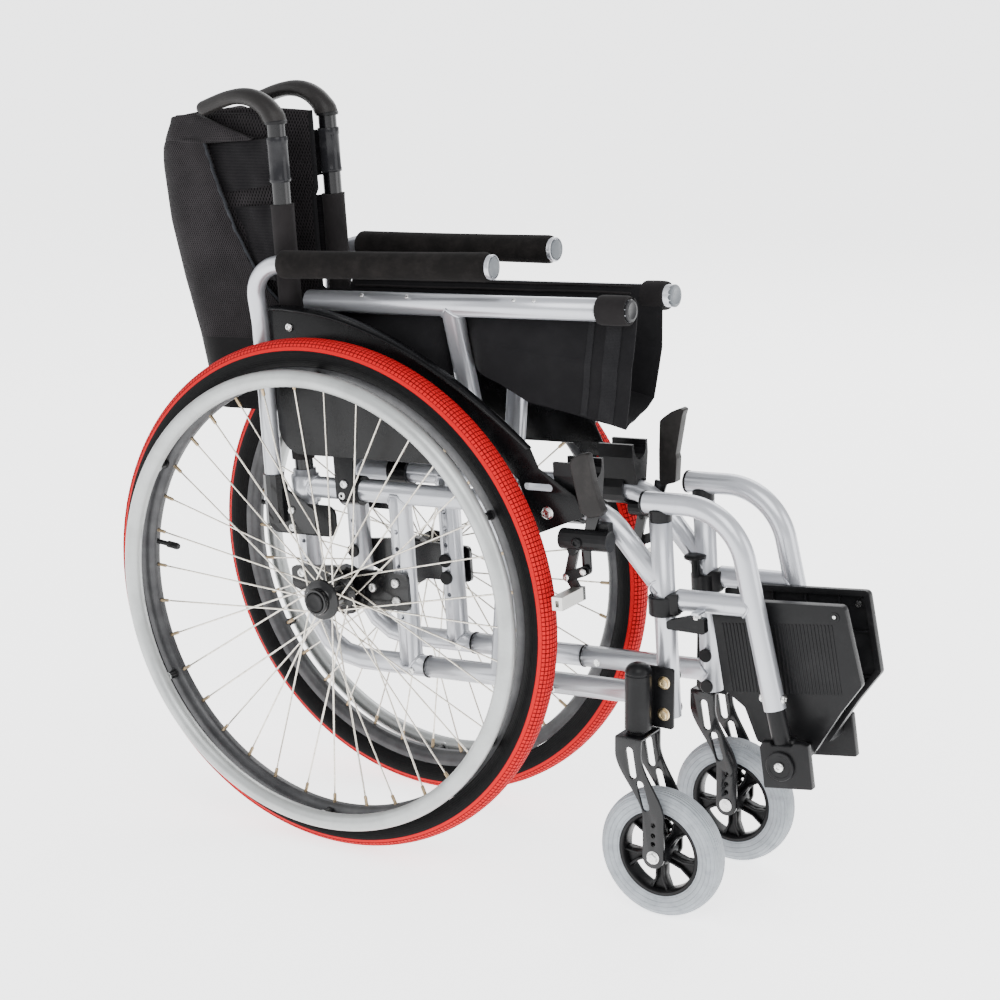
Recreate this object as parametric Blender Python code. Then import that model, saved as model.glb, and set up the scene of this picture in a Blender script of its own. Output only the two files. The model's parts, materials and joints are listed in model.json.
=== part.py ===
"""Folding lightweight wheelchair, modelled folded up as it stands in storage.

Metres, +Z up, the chair faces +X and its right side is -Y. The side frames are pitched a few
degrees, so most pieces are drawn in the chassis space: its origin is the rear axle line, x runs
forward along the frame rails and z runs square to them. Wheels and casters stand upright in the
ground space: x forward from the rear axle, z up from the floor. Each side is drawn once as the
right side, where y is negative, and mirrored for the left.
"""
import math

import bmesh
import bpy
from mathutils import Matrix, Vector

# Fits and facets
GAP = 0.0003
RUNNING_GAP = 0.0004
TUBE_SIDES = 12
ROUND_SIDES = 16
SMALL_SIDES = 8
HOLE_SIDES = 6
WHEEL_STEPS = 36
CASTER_STEPS = 20
BEND_STEPS = 4
SMOOTH_ANGLE = math.radians(38)

# Frame
PITCH = math.radians(3.7)
FRAME_Y = 0.0505
TUBE_R = 0.0127
POST_R = 0.0138
LOWER_Z = -0.0913
UPPER_Z = 0.1155
REAR_POST_X = -0.0625
FRONT_POST_X = 0.0718
FRONT_TUBE_X = 0.4150
FRONT_TUBE_BOTTOM_Z = -0.1138
FRONT_TUBE_TOP_Z = 0.1080
LOWER_BEND_R = 0.065
RAIL_BEND_X = 0.345
RAIL_BEND_R = 0.055
RAIL_FOOT_Z = 0.031
COLLAR_R = 0.0168
COLLAR_BOTTOM_Z = 0.0970
COLLAR_TOP_Z = 0.1370
HOLE_R = 0.0032
HOLE_PITCH = 0.0205
HOLE_TOP_Z = 0.0724
FRONT_POST_HOLES = (0, 1, 2, 5)
REAR_POST_HOLES = (1, 2)

# Cross brace and seat rails
SLEEVE_REAR_X = 0.0965
SLEEVE_FRONT_X = 0.2490
SLEEVE_WALL = 0.0026
WASHER = 0.0012
LEG_REAR_X = 0.1620
LEG_FRONT_X = 0.1950
LEG_R = 0.0127
SEAT_RAIL_Z = 0.3385
SEAT_RAIL_R = 0.0127
SEAT_RAIL_REAR_X = -0.0350
SEAT_RAIL_FRONT_X = 0.3920
OPEN_HALF_WIDTH = 0.1800
BRACE_BOLT_R = 0.0040
BRACE_BOLT_HEAD_R = 0.0075
BRACE_BOLT_HEAD = 0.0050

# Seat rail saddles on the upper frame tube
SADDLE_FRONT_X = 0.3065
SADDLE_CLAMP_LENGTH = 0.0270
SADDLE_CRADLE_LENGTH = 0.0440
SADDLE_WALL = 0.0045
SADDLE_LIP = 0.0060

# Seat sling
SLING_THICKNESS = 0.0040
SLING_HEM_WALL = 0.0024
SLING_REAR_X = -0.0300
SLING_FRONT_X = 0.3850
SLING_DROP = 0.1290
SLING_LEG_CLEARANCE = 0.0060
SLING_SHOULDER_X = 0.2480
SLING_SHOULDER_RISE = 0.0260
SLING_CREST_RISE = 0.0455
SLING_WEB_HALF = 0.0150

# Back posts, upholstery and push grips
BACK_POST_R = 0.0109
BACK_POST_TOP_Z = 0.5445
HEIGHT_SLEEVE_R = 0.0126
HEIGHT_SLEEVE_BOTTOM_Z = 0.4760
HEIGHT_SLEEVE_TOP_Z = 0.5280
BACK_SLEEVE_WALL = 0.0026
BACK_SLEEVE_BOTTOM_Z = 0.1500
BACK_SLEEVE_TOP_Z = 0.4505
BACK_TOP_Z = 0.5440
BACK_BOTTOM_Z = 0.2050
BACK_PAD = 0.0110
BACK_REACH_TOP = 0.1965
BACK_REACH_BOTTOM = 0.1535
BACK_LEVELS = 6
GRIP_ROOT_R = 0.0130
GRIP_HALF_HEIGHT = 0.0066
GRIP_HALF_WIDTH = 0.0108
GRIP_LENGTH = 0.1160
GRIP_BEND_LENGTH = 0.1050
GRIP_TAPER_LENGTH = 0.0700
GRIP_ROOT_LEAN = math.radians(17.0)
GRIP_SWEEP = math.radians(91.0)
GRIP_STEPS = 9
GRIP_NOSE = 0.0060

# Armrest
ARM_TUBE_R = 0.0105
ARM_POST_X = -0.0910
ARM_POST_Y = -0.0735
ARM_FOOT_Z = 0.1345
ARM_KICK_Z = 0.3150
ARM_TOP_Z = 0.3850
ARM_REAR_Y = -0.0822
ARM_FRONT_Y = -0.0670
ARM_BEND_R = 0.0420
PAD_R = 0.0155
PAD_REAR_X = -0.0480
PAD_FRONT_X = 0.2330
ARM_CAP_LENGTH = 0.0060
ARM_SPIGOT = 0.0300
ARM_SPIGOT_R = 0.0075
PAD_BORE_R = 0.0112
BRACKET_THICKNESS = 0.0046
BRACKET_SOCKET_R = 0.0128
BRACKET_SOCKET_Z = 0.0760
BRACKET_CORNERS = ((-0.1030, 0.1290), (-0.1030, 0.0760), (-0.0880, 0.0635), (-0.0370, 0.0635),
                   (-0.0370, 0.0930))
BRACKET_CORNER_R = 0.0040

# Rear wheels
TYRE_R = 0.3050
TYRE_HALF_WIDTH = 0.0175
TYRE_DEPTH = 0.0315
RIM_DEPTH = 0.0165
RIM_OUTER_R = TYRE_R - TYRE_DEPTH
RIM_INNER_R = RIM_OUTER_R - RIM_DEPTH
RIM_HALF_WIDTH = 0.0112
RIM_FLANK = 0.0090
TREAD_SHARE = 0.38
BEAD_SHARE = 0.70
TYRE_SHOULDER = 0.0120
WHEEL_OFFSET = 0.0542
HANDRIM_INSET = 0.0083
HANDRIM_R = RIM_OUTER_R - HANDRIM_INSET
HANDRIM_TUBE_R = 0.0103
HANDRIM_OFFSET = 0.0360
HANDRIM_TABS = 6
HANDRIM_TAB_R = 0.0035
SPOKES_PER_FLANGE = 18
SPOKE_R = 0.0011
SPOKE_SHIFT = 0.0016
SPOKE_END_GAP = 0.00045
SPOKE_LACE_ANGLE = math.radians(60)
HUB_INNER_Y = -0.0800
HUB_CAP_Y = -0.1342
HUB_R = 0.0152
HUB_NOSE = 0.0120
HUB_FLANGE_R = 0.0225
FLANGE_WIDTH = 0.0030
FLANGE_EDGE = 0.0055
HUB_CAP_R = 0.0243
AXLE_R = 0.0060
AXLE_BUTTON_R = 0.0110
AXLE_BUTTON_TRAVEL = 0.0030
AXLE_BUTTON_HEAD = 0.0035
HUB_RECESS = 0.0055

# Axle plate
PLATE_THICKNESS = 0.0050
PLATE_CORNERS = ((-0.0800, 0.0210), (-0.0800, -0.0040), (-0.0300, -0.0220), (0.0870, -0.0205),
                 (0.0870, 0.0235), (-0.0200, 0.0260))
PLATE_CORNER_R = 0.0050
PLATE_BOSS_R = 0.0300
PLATE_BOSS_DEPTH = 0.0070
RECEIVER_R = 0.0125

# Casters, in the ground space
CASTER_Y = -0.0885
CASTER_STEM_X = 0.4013
CASTER_WHEEL_X = 0.4335
CASTER_R = 0.0740
CASTER_HALF_WIDTH = 0.0145
CASTER_TYRE_DEPTH = 0.0250
CASTER_RIM_R = CASTER_R - CASTER_TYRE_DEPTH
CASTER_RIM_DEPTH = 0.0065
CASTER_WEB = 0.0035
CASTER_TREAD_SHARE = 0.55
CASTER_SHOULDER = 0.0080
CASTER_SEAT_SHARE = 0.80
CASTER_HUB_R = 0.0140
CASTER_AXLE_R = 0.0040
CASTER_SPOKES = 5
CASTER_WINDOW = math.radians(26)
HOUSING_R = 0.0148
HOUSING_BOTTOM_Z = 0.2117
HOUSING_TOP_Z = 0.2767
HOUSING_DOME = 0.0115
HOUSING_PLATE_X = 0.4320
STEM_R = 0.0080
STEM_TOP_Z = 0.2620
CROWN_TOP_Z = 0.2085
CROWN_THICKNESS = 0.0040
FORK_HALF_GAP = 0.0200
FORK_BLADE = 0.0035
FORK_TOP_HALF_WIDTH = 0.0160
FORK_FOOT_HALF_WIDTH = 0.0130
FORK_CURVE_TOP_Z = 0.1900
FORK_CURVE_BOTTOM_Z = 0.1180
FORK_CURVE_STEPS = 6
FORK_SLOTS = (((0.4030, 0.1930), (0.4075, 0.1660)), ((0.4165, 0.1560), (0.4240, 0.1310)))
FORK_SLOT_R = 0.0045
FORK_HOLES_Z = (0.1120, 0.1000)
FORK_HOLE_R = 0.0030

# Swing-away hanger and footrest
HANGER_R = 0.0122
HANGER_Z = 0.1285
HANGER_REAR_X = 0.3965
HANGER_CORNER_X = 0.5050
HANGER_FOOT_X = 0.5440
HANGER_FOOT_Z = -0.0910
HANGER_BEND_R = 0.0700
HANGER_PIN_R = 0.0090
HANGER_PIN_BOTTOM_Z = 0.0850
HANGER_CROSS_Z = 0.0215
HANGER_CROSS_R = 0.0120
HANGER_CUFF_WALL = 0.0050
HANGER_CUFF_BOTTOM_Z = 0.0035
HANGER_CUFF_TOP_Z = 0.0255
EXTENSION_R = 0.0103
LATCH_PIVOT_X = 0.4645
LATCH_PIVOT_Y = -0.0700
LATCH_THICKNESS = 0.0090
LATCH_CORNERS = ((0.4285, -0.0060), (0.4750, -0.0080), (0.4750, 0.0090), (0.4550, 0.0105),
                 (0.4285, 0.0030))
LATCH_CORNER_R = 0.0025
LATCH_PIN_R = 0.0026
LATCH_PIN_BOTTOM_Z = -0.0030
LATCH_TAB_Z = 0.0125
FOOT_TILT = math.radians(4.5)
FOOT_BLOCK_X = 0.5590
FOOT_BLOCK_Z = -0.1500
FOOT_BLOCK_LENGTH = 0.0575
FOOT_BLOCK_HEIGHT = 0.0520
FOOT_BLOCK_OUTER_Y = -0.0625
FOOT_BLOCK_THICKNESS = 0.0100
FOOT_BLOCK_CORNER_R = 0.0060
FOOT_KNUCKLE_X = -0.0053
FOOT_KNUCKLE_LENGTH = 0.0220
FOOT_KNUCKLE_INNER_Y = -0.0385
FOOT_KNUCKLE_DROP = 0.0060
FOOT_DISC_R = 0.0165
FOOT_DISC_DEPTH = 0.0040
FOOT_PIN_R = 0.0035
FOOT_PIVOT_Y = -0.0450
FOOT_PIVOT_RISE = 0.0085
FOOT_LUG_R = 0.0060
FOOT_LUG_GAP = 0.0010
FOOT_LUG_LENGTH = 0.0110
FOOTPLATE_OUTER_Y = -0.0250
FOOTPLATE_THICKNESS = 0.0090
FOOTPLATE_EDGE = 0.0045
FOOTPLATE_LEAN = math.radians(4.0)
FOOTPLATE_CORNERS = ((-0.0500, 0.0118), (0.0155, 0.0000), (0.0553, 0.0495), (0.0844, 0.0808),
                     (0.0768, 0.1705), (-0.0820, 0.1770), (-0.0820, 0.0726), (-0.0594, 0.0523))
FOOTPLATE_CORNER_R = 0.0060
FOOTPLATE_LUG_TOP = 0.0220
FOOTPLATE_GROOVES = 20
FOOTPLATE_GROOVE_DEPTH = 0.0016
FOOTPLATE_GROOVE_WIDTH = 0.0030
FOOTPLATE_GROOVE_RISE = (0.0700, 0.1500)
FOOTPLATE_GROOVE_REACH = (-0.0710, 0.0600)

# Wheel lock
BRAKE_Y = -0.0790
BRAKE_Z = 0.0880
BRAKE_REAR_X = 0.3065
BRAKE_FRONT_X = 0.3670
BRAKE_BODY_R = 0.0118
BRAKE_LUG_REAR_X = 0.3420
BRAKE_LUG_FRONT_X = 0.3620
BRAKE_LUG_TOP_Z = 0.1060
BRAKE_ARM_Y = -0.0770
BRAKE_ARM_THICKNESS = 0.0040
BRAKE_LINK_Y = -0.0815
BRAKE_SLOT_REAR_X = 0.3125
BRAKE_SLOT_FRONT_X = 0.3520
BRAKE_PIVOT = (0.3348, 0.0790)
BRAKE_STEM_TOP = (0.3400, 0.1120)
BRAKE_GRIP_HALF_THICKNESS = 0.0054
BRAKE_GRIP_CORNERS = ((0.3300, 0.1120), (0.3620, 0.1160), (0.3600, 0.1800), (0.3450, 0.1870),
                      (0.3240, 0.1780))
BRAKE_GRIP_CORNER_R = 0.0045
BRAKE_LEVER_RIVET = (0.3348, 0.0535)
SHOE_PIVOT = (0.3200, 0.0755)
SHOE_RIVET = (0.3112, 0.0446)
SHOE_CENTRE = (0.3225, 0.0260)
SHOE_HALF_HEIGHT = 0.0075
SHOE_HALF_DEPTH = 0.0065
SHOE_OUTER_Y = -0.1250
SHOE_INNER_Y = -0.0740
BRAKE_PIN_R = 0.0026
BRAKE_EYE_R = 0.0056
BRAKE_LOOSE_GAP = 0.0008

# Side guard
GUARD_Y = -0.0715
GUARD_THICKNESS = 0.0026
GUARD_LIP_WIDTH = 0.0160
GUARD_LIP_THICKNESS = 0.0030
GUARD_CORNER = (-0.0775, 0.3320)
GUARD_ARCH = ((-0.0475, 0.3335), (0.1031, 0.2968), (0.2671, 0.1845))
GUARD_STEPS = 8
GUARD_FRONT = ((0.2762, 0.1633), (0.3217, 0.1346), (0.3312, 0.1120), (0.2704, 0.0880), (0.2480, 0.1500))
GUARD_SLOT = ((0.2600, 0.1416), (0.2890, 0.1416))
GUARD_SLOT_R = 0.0040
GUARD_LOWER_X = 0.2380
GUARD_LOWER_Z = 0.1590
GUARD_REAR_R = 0.0300
GUARD_STRAP_TOP_Z = 0.1750
GUARD_CLAMP_X = 0.0085
GUARD_SCREW = (-0.0570, 0.3106)
GUARD_FRONT_SCREW = (0.3020, 0.1155)
GUARD_SPACER_R = 0.0055

# The seat rails rest in the saddles when the brace is fully open
BRACE_LENGTH = math.hypot(2 * FRAME_Y, SEAT_RAIL_Z - LOWER_Z)
SADDLE_REST_Z = LOWER_Z + math.sqrt(BRACE_LENGTH ** 2 - (2 * OPEN_HALF_WIDTH) ** 2)
BRACE_BOLT_Z = (SEAT_RAIL_Z + LOWER_Z) / 2
SPIGOT_R = (TUBE_R - SLEEVE_WALL) * math.cos(math.pi / TUBE_SIDES) - RUNNING_GAP
WHEEL_Y = -FRAME_Y - WHEEL_OFFSET
CASTER_AXLE_Z = CASTER_R

MATERIALS = {
    "silver paint": ((0.62, 0.63, 0.65), 0.32, 0.75),
    "black paint": ((0.012, 0.012, 0.013), 0.22, 0.10),
    "black plastic": ((0.018, 0.018, 0.019), 0.42, 0.0),
    "grip rubber": ((0.045, 0.042, 0.040), 0.62, 0.0),
    "arm foam": ((0.022, 0.020, 0.019), 0.90, 0.0),
    "tread rubber": ((0.62, 0.020, 0.015), 0.65, 0.0),
    "rim metal": ((0.10, 0.10, 0.105), 0.35, 0.60),
    "spoke steel": ((0.60, 0.58, 0.55), 0.28, 1.0),
    "handrim metal": ((0.55, 0.56, 0.56), 0.38, 0.60),
    "caster rubber": ((0.47, 0.49, 0.51), 0.60, 0.0),
    "seat nylon": ((0.014, 0.014, 0.015), 0.85, 0.0),
    "back mesh": ((0.020, 0.018, 0.019), 0.90, 0.0),
    "zinc steel": ((0.55, 0.55, 0.54), 0.30, 1.0),
}


# Small helpers for points and outlines

def polar(radius, angle, centre=(0.0, 0.0)):
    """Point at an angle on a circle, as a pair."""
    return (centre[0] + radius * math.cos(angle), centre[1] + radius * math.sin(angle))


def arc(radius, start, end, steps, centre=(0.0, 0.0)):
    """Points along an arc, both ends included."""
    return [polar(radius, start + (end - start) * i / steps, centre) for i in range(steps + 1)]


def slot_outline(start, end, radius, steps=3):
    """Outline of a slot with round ends, between two centres."""
    angle = math.atan2(end[1] - start[1], end[0] - start[0])
    quarter = math.pi / 2
    return (arc(radius, angle - quarter, angle + quarter, steps, end)
            + arc(radius, angle + quarter, angle + 3 * quarter, steps, start))


def fillet(points, radius, steps=BEND_STEPS):
    """Open path with each inner corner rounded by an arc of the given radius."""
    path = [Vector(points[0])]
    for before, corner, after in zip(points, points[1:], points[2:]):
        corner = Vector(corner)
        back = (Vector(before) - corner).normalized()
        ahead = (Vector(after) - corner).normalized()
        half = back.angle(ahead) / 2
        middle = (back + ahead).normalized()
        centre = corner + middle * radius / math.sin(half)
        start = corner + back * radius / math.tan(half) - centre
        end = corner + ahead * radius / math.tan(half) - centre
        sweep = start.angle(end)
        for i in range(steps + 1):
            share = i / steps
            weight = math.sin(sweep)
            along = (start * math.sin((1 - share) * sweep) + end * math.sin(share * sweep)) / weight
            path.append(centre + along)
    path.append(Vector(points[-1]))
    return path


def rounded(points, radius, steps=3):
    """Closed outline with each corner rounded."""
    outline = []
    for i, corner in enumerate(points):
        corner = Vector((*corner, 0.0))
        back = (Vector((*points[i - 1], 0.0)) - corner).normalized()
        ahead = (Vector((*points[(i + 1) % len(points)], 0.0)) - corner).normalized()
        half = back.angle(ahead) / 2
        reach = radius / math.tan(half)
        centre = corner + (back + ahead).normalized() * radius / math.sin(half)
        start = corner + back * reach - centre
        end = corner + ahead * reach - centre
        sweep = start.angle(end)
        for k in range(steps + 1):
            share = k / steps
            along = start * math.sin((1 - share) * sweep) + end * math.sin(share * sweep)
            outline.append(tuple((centre + along / math.sin(sweep))[:2]))
    return outline


def circle_through(first, middle, last, steps):
    """Points of the arc that starts at first, passes middle and ends at last."""
    ax, ay = first
    bx, by = middle
    cx, cy = last
    scale = 2 * (ax * (by - cy) + bx * (cy - ay) + cx * (ay - by))
    sums = [px * px + py * py for px, py in (first, middle, last)]
    x = (sums[0] * (by - cy) + sums[1] * (cy - ay) + sums[2] * (ay - by)) / scale
    y = (sums[0] * (cx - bx) + sums[1] * (ax - cx) + sums[2] * (bx - ax)) / scale
    radius = math.hypot(ax - x, ay - y)
    start = math.atan2(ay - y, ax - x)
    end = math.atan2(cy - y, cx - x)
    return arc(radius, start, end, steps, (x, y))


# Solids

def bridge(shape, first, second):
    """Join two rings of vertices with four-sided faces."""
    count = len(first)
    for i in range(count):
        k = (i + 1) % count
        shape.faces.new((first[i], first[k], second[k], second[i]))


def closed(shape):
    """Point every face of a closed shape outwards."""
    bmesh.ops.recalc_face_normals(shape, faces=shape.faces)
    return shape


def rings_to_solid(rings):
    """Closed solid skinned over matching rings of points, flat at both ends."""
    shape = bmesh.new()
    made = [[shape.verts.new(point) for point in points] for points in rings]
    for first, second in zip(made, made[1:]):
        bridge(shape, first, second)
    shape.faces.new(made[0])
    shape.faces.new(made[-1])
    return closed(shape)


def round_points(centre, side, up, radius, sides):
    """Points round a circle that lies across a path."""
    turns = [2 * math.pi * k / sides for k in range(sides)]
    return [centre + (side * math.cos(a) + up * math.sin(a)) * radius for a in turns]


def running_bore(radius, sides=TUBE_SIDES, gap=RUNNING_GAP):
    """Corner radius of a faceted bore in which a round piece of the given radius can turn."""
    return (radius + gap) / math.cos(math.pi / sides)


def tube(path, radius, sides=TUBE_SIDES):
    """Round bar swept along a path."""
    path = [Vector(point) for point in path]
    last = len(path) - 1
    side = (path[1] - path[0]).normalized().orthogonal().normalized()
    rings = []
    for i, point in enumerate(path):
        ahead = (path[min(i + 1, last)] - path[max(i - 1, 0)]).normalized()
        side = (side - ahead * side.dot(ahead)).normalized()
        rings.append(round_points(point, side, ahead.cross(side), radius, sides))
    return rings_to_solid(rings)


def turned(profile, start, direction, sides=ROUND_SIDES):
    """Turned solid: profile lists (distance along the axis, radius), both ends flat."""
    axis = Vector(direction).normalized()
    side = axis.orthogonal().normalized()
    up = axis.cross(side)
    return rings_to_solid([round_points(Vector(start) + axis * distance, side, up, radius, sides)
                           for distance, radius in profile])


def ring(profile, centre, steps):
    """Ring turned about a Y axis; profile is a closed loop of (radius, y), flats face the floor."""
    shape = bmesh.new()
    half = math.pi / steps
    loops = []
    for i in range(steps):
        angle = (2 * i + 1) * half - math.pi / 2
        points = [polar(radius / math.cos(half), angle, centre) for radius, _ in profile]
        loops.append([shape.verts.new((x, y, z)) for (x, z), (_, y) in zip(points, profile)])
    for i in range(steps):
        bridge(shape, loops[i], loops[(i + 1) % steps])
    return closed(shape)


def slab(outline, start, end, axis="y"):
    """Outline pushed from start to end along an axis; its points are in the other two axes' order."""
    shape = bmesh.new()
    order = {"x": (2, 0, 1), "y": (0, 2, 1), "z": (0, 1, 2)}[axis]
    faces = []
    for level in (start, end):
        raw = [(a, b, level) for a, b in outline]
        faces.append([shape.verts.new([point[k] for k in order]) for point in raw])
    bridge(shape, faces[0], faces[1])
    shape.faces.new(faces[0])
    shape.faces.new(faces[1])
    return closed(shape)


def block(low, high):
    """Plain rectangular block between two corners."""
    outline = [(low[0], low[2]), (high[0], low[2]), (high[0], high[2]), (low[0], high[2])]
    return slab(outline, low[1], high[1])


def moved(shape, matrix):
    """The same shape after a rigid move."""
    shape.transform(matrix)
    return shape


def gather(pile, shape):
    """Add a loose shape to a pile of shapes that is joined to something later in one step."""
    mesh = bpy.data.meshes.new("loose")
    shape.to_mesh(mesh)
    shape.free()
    pile.from_mesh(mesh)
    bpy.data.meshes.remove(mesh)


def scratch_object(shape):
    """Hidden work object that a boolean step can use."""
    mesh = bpy.data.meshes.new("work")
    shape.to_mesh(mesh)
    shape.free()
    made = bpy.data.objects.new("work", mesh)
    made.hide_render = True
    made.display_type = "WIRE"
    bpy.context.scene.collection.objects.link(made)
    return made


def combine(base, tools, operation):
    """Join the base with each tool, or cut each tool from it, as one closed shape."""
    work = scratch_object(base)
    helpers = [scratch_object(shape) for shape in tools]
    for helper in helpers:
        step = work.modifiers.new("step", "BOOLEAN")
        step.operation = operation
        step.solver = "EXACT"
        step.object = helper
    bpy.context.view_layer.update()
    evaluated = work.evaluated_get(bpy.context.evaluated_depsgraph_get())
    mesh = bpy.data.meshes.new_from_object(evaluated)
    result = bmesh.new()
    result.from_mesh(mesh)
    for made in [work, *helpers]:
        data = made.data
        bpy.data.objects.remove(made)
        bpy.data.meshes.remove(data)
    bpy.data.meshes.remove(mesh)
    return result


def union(base, *others):
    """One body made of overlapping shapes."""
    return combine(base, others, "UNION")


def cut(base, *tools):
    """The base with each tool taken out of it."""
    return combine(base, tools, "DIFFERENCE")


# Placing pieces in the scene

def clear_scene():
    """Remove whatever the open file holds."""
    for existing in list(bpy.data.objects):
        bpy.data.objects.remove(existing)


def make_materials():
    """One Principled material for each finish."""
    made = {}
    for name, (colour, roughness, metallic) in MATERIALS.items():
        material = bpy.data.materials.new(name)
        material.use_nodes = True
        shader = material.node_tree.nodes["Principled BSDF"]
        shader.inputs["Base Color"].default_value = (*colour, 1.0)
        shader.inputs["Roughness"].default_value = roughness
        shader.inputs["Metallic"].default_value = metallic
        made[name] = material
    return made


def make_space(name, parent, location, pitch=0.0):
    """Empty that carries pieces drawn in its own space."""
    empty = bpy.data.objects.new(name, None)
    empty.parent = parent
    empty.location = location
    empty.rotation_euler = (0.0, -pitch, 0.0)
    bpy.context.scene.collection.objects.link(empty)
    return empty


class Workshop:
    """Adds finished pieces to the scene, in a space and on one side of the chair."""

    def __init__(self):
        self.materials = make_materials()
        self.chair = make_space("chair", None, (0.0, 0.0, 0.0))
        self.spaces = {
            "chassis": make_space("chassis", self.chair, (0.0, 0.0, TYRE_R), PITCH),
            "ground": make_space("ground", self.chair, (0.0, 0.0, 0.0)),
        }

    def add(self, name, shape, finish, pivot=(0.0, 0.0, 0.0), space="chassis", mirrored=False):
        """Make one named object whose origin is its pivot, mirrored across the chair if asked."""
        pivot = Vector(pivot)
        if mirrored:
            shape.transform(Matrix.Scale(-1.0, 4, (0.0, 1.0, 0.0)))
            bmesh.ops.reverse_faces(shape, faces=shape.faces)
            pivot.y = -pivot.y
        shape.transform(Matrix.Translation(-pivot))
        mesh = bpy.data.meshes.new(name)
        shape.to_mesh(mesh)
        shape.free()
        mesh.shade_smooth()
        mesh.set_sharp_from_angle(angle=SMOOTH_ANGLE)
        mesh.materials.append(self.materials[finish])
        piece = bpy.data.objects.new(name, mesh)
        piece.parent = self.spaces[space]
        piece.location = pivot
        bpy.context.scene.collection.objects.link(piece)

    def centre_on_origin(self):
        """Slide the chair so that the middle of its length is over the origin."""
        bpy.context.view_layer.update()
        reach = []
        for piece in bpy.data.objects:
            if piece.type == "MESH":
                reach += [(piece.matrix_world @ vertex.co).x for vertex in piece.data.vertices]
        self.chair.location.x = -(min(reach) + max(reach)) / 2
        bpy.context.view_layer.update()


# Right side, in the chassis space

def rail_point(x, z):
    """Point in the plane of the right side frame."""
    return (x, -FRAME_Y, z)


def side_frame():
    """Welded side frame: lower tube bent up into the rear post, two uprights and the upper tube."""
    lower_rear = tube(fillet([rail_point(REAR_POST_X, UPPER_Z), rail_point(REAR_POST_X, LOWER_Z),
                              rail_point(SLEEVE_REAR_X, LOWER_Z)], LOWER_BEND_R), TUBE_R)
    lower_front = tube([rail_point(SLEEVE_FRONT_X, LOWER_Z), rail_point(FRONT_TUBE_X, LOWER_Z)],
                       TUBE_R)
    spigot = tube([rail_point(SLEEVE_REAR_X - TUBE_R, LOWER_Z),
                   rail_point(SLEEVE_FRONT_X + TUBE_R, LOWER_Z)], SPIGOT_R)
    front = tube([rail_point(FRONT_TUBE_X, FRONT_TUBE_BOTTOM_Z),
                  rail_point(FRONT_TUBE_X, FRONT_TUBE_TOP_Z)], TUBE_R)
    upper = tube(fillet([rail_point(REAR_POST_X, UPPER_Z), rail_point(RAIL_BEND_X, UPPER_Z),
                         rail_point(FRONT_TUBE_X, RAIL_FOOT_Z)], RAIL_BEND_R), TUBE_R)
    front_post = tube([rail_point(FRONT_POST_X, LOWER_Z), rail_point(FRONT_POST_X, UPPER_Z)], POST_R)
    rear_post = tube([rail_point(REAR_POST_X, LOWER_Z + LOWER_BEND_R),
                      rail_point(REAR_POST_X, COLLAR_TOP_Z)], POST_R)
    collar = tube([rail_point(REAR_POST_X, COLLAR_BOTTOM_Z),
                   rail_point(REAR_POST_X, COLLAR_TOP_Z - POST_R / 2)], COLLAR_R)
    welded = union(lower_rear, spigot, lower_front, front, upper, front_post, rear_post, collar)
    holes = [(FRONT_POST_X, HOLE_TOP_Z - k * HOLE_PITCH) for k in FRONT_POST_HOLES]
    holes += [(REAR_POST_X, HOLE_TOP_Z - k * HOLE_PITCH) for k in REAR_POST_HOLES]
    drills = [tube([(x, -FRAME_Y - 2 * POST_R, z), (x, -FRAME_Y + 2 * POST_R, z)], HOLE_R, HOLE_SIDES)
              for x, z in holes]
    pin_bore = tube([rail_point(FRONT_TUBE_X, HANGER_PIN_BOTTOM_Z - RUNNING_GAP),
                     rail_point(FRONT_TUBE_X, FRONT_TUBE_TOP_Z + TUBE_R)], running_bore(HANGER_PIN_R))
    return cut(welded, pin_bore, *drills)


def back_post():
    """Back upright with the clear sleeve that shows the grip height."""
    bottom = COLLAR_TOP_Z + GAP
    profile = [(bottom, BACK_POST_R), (HEIGHT_SLEEVE_BOTTOM_Z, BACK_POST_R),
               (HEIGHT_SLEEVE_BOTTOM_Z, HEIGHT_SLEEVE_R), (HEIGHT_SLEEVE_TOP_Z, HEIGHT_SLEEVE_R),
               (HEIGHT_SLEEVE_TOP_Z, BACK_POST_R), (BACK_POST_TOP_Z, BACK_POST_R)]
    return turned(profile, rail_point(REAR_POST_X, 0.0), (0, 0, 1), TUBE_SIDES)


def push_grip():
    """Moulded push grip: it thins as it curves off the post and droops a little to the rear."""
    centre = Vector(rail_point(REAR_POST_X, BACK_POST_TOP_Z + GAP))
    rings = [round_points(centre, Vector((1.0, 0.0, 0.0)), Vector((0.0, 1.0, 0.0)), GRIP_ROOT_R, TUBE_SIDES)]
    step = GRIP_LENGTH / GRIP_STEPS
    for k in range(GRIP_STEPS + 1):
        length = step * (k + 1)
        turn = min(length / GRIP_BEND_LENGTH, 1.0) * math.pi / 2
        lean = GRIP_ROOT_LEAN + GRIP_SWEEP * math.sin(turn)
        ahead = Vector((-math.sin(lean), 0.0, math.cos(lean)))
        share = min(length / GRIP_TAPER_LENGTH, 1.0)
        if k < GRIP_STEPS:
            centre = centre + ahead * step
            size = 1.0
        else:
            centre = centre + ahead * GRIP_NOSE
            size = GRIP_HALF_HEIGHT / GRIP_HALF_WIDTH
        height = GRIP_ROOT_R + (GRIP_HALF_HEIGHT - GRIP_ROOT_R) * share
        width = GRIP_ROOT_R + (GRIP_HALF_WIDTH - GRIP_ROOT_R) * share
        up = Vector((math.cos(lean), 0.0, math.sin(lean))) * height * size
        side = Vector((0.0, width * size, 0.0))
        rings.append(round_points(centre, up, side, 1.0, TUBE_SIDES))
    grip = rings_to_solid(rings)
    bmesh.ops.triangulate(grip, faces=grip.faces)
    return grip


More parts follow.
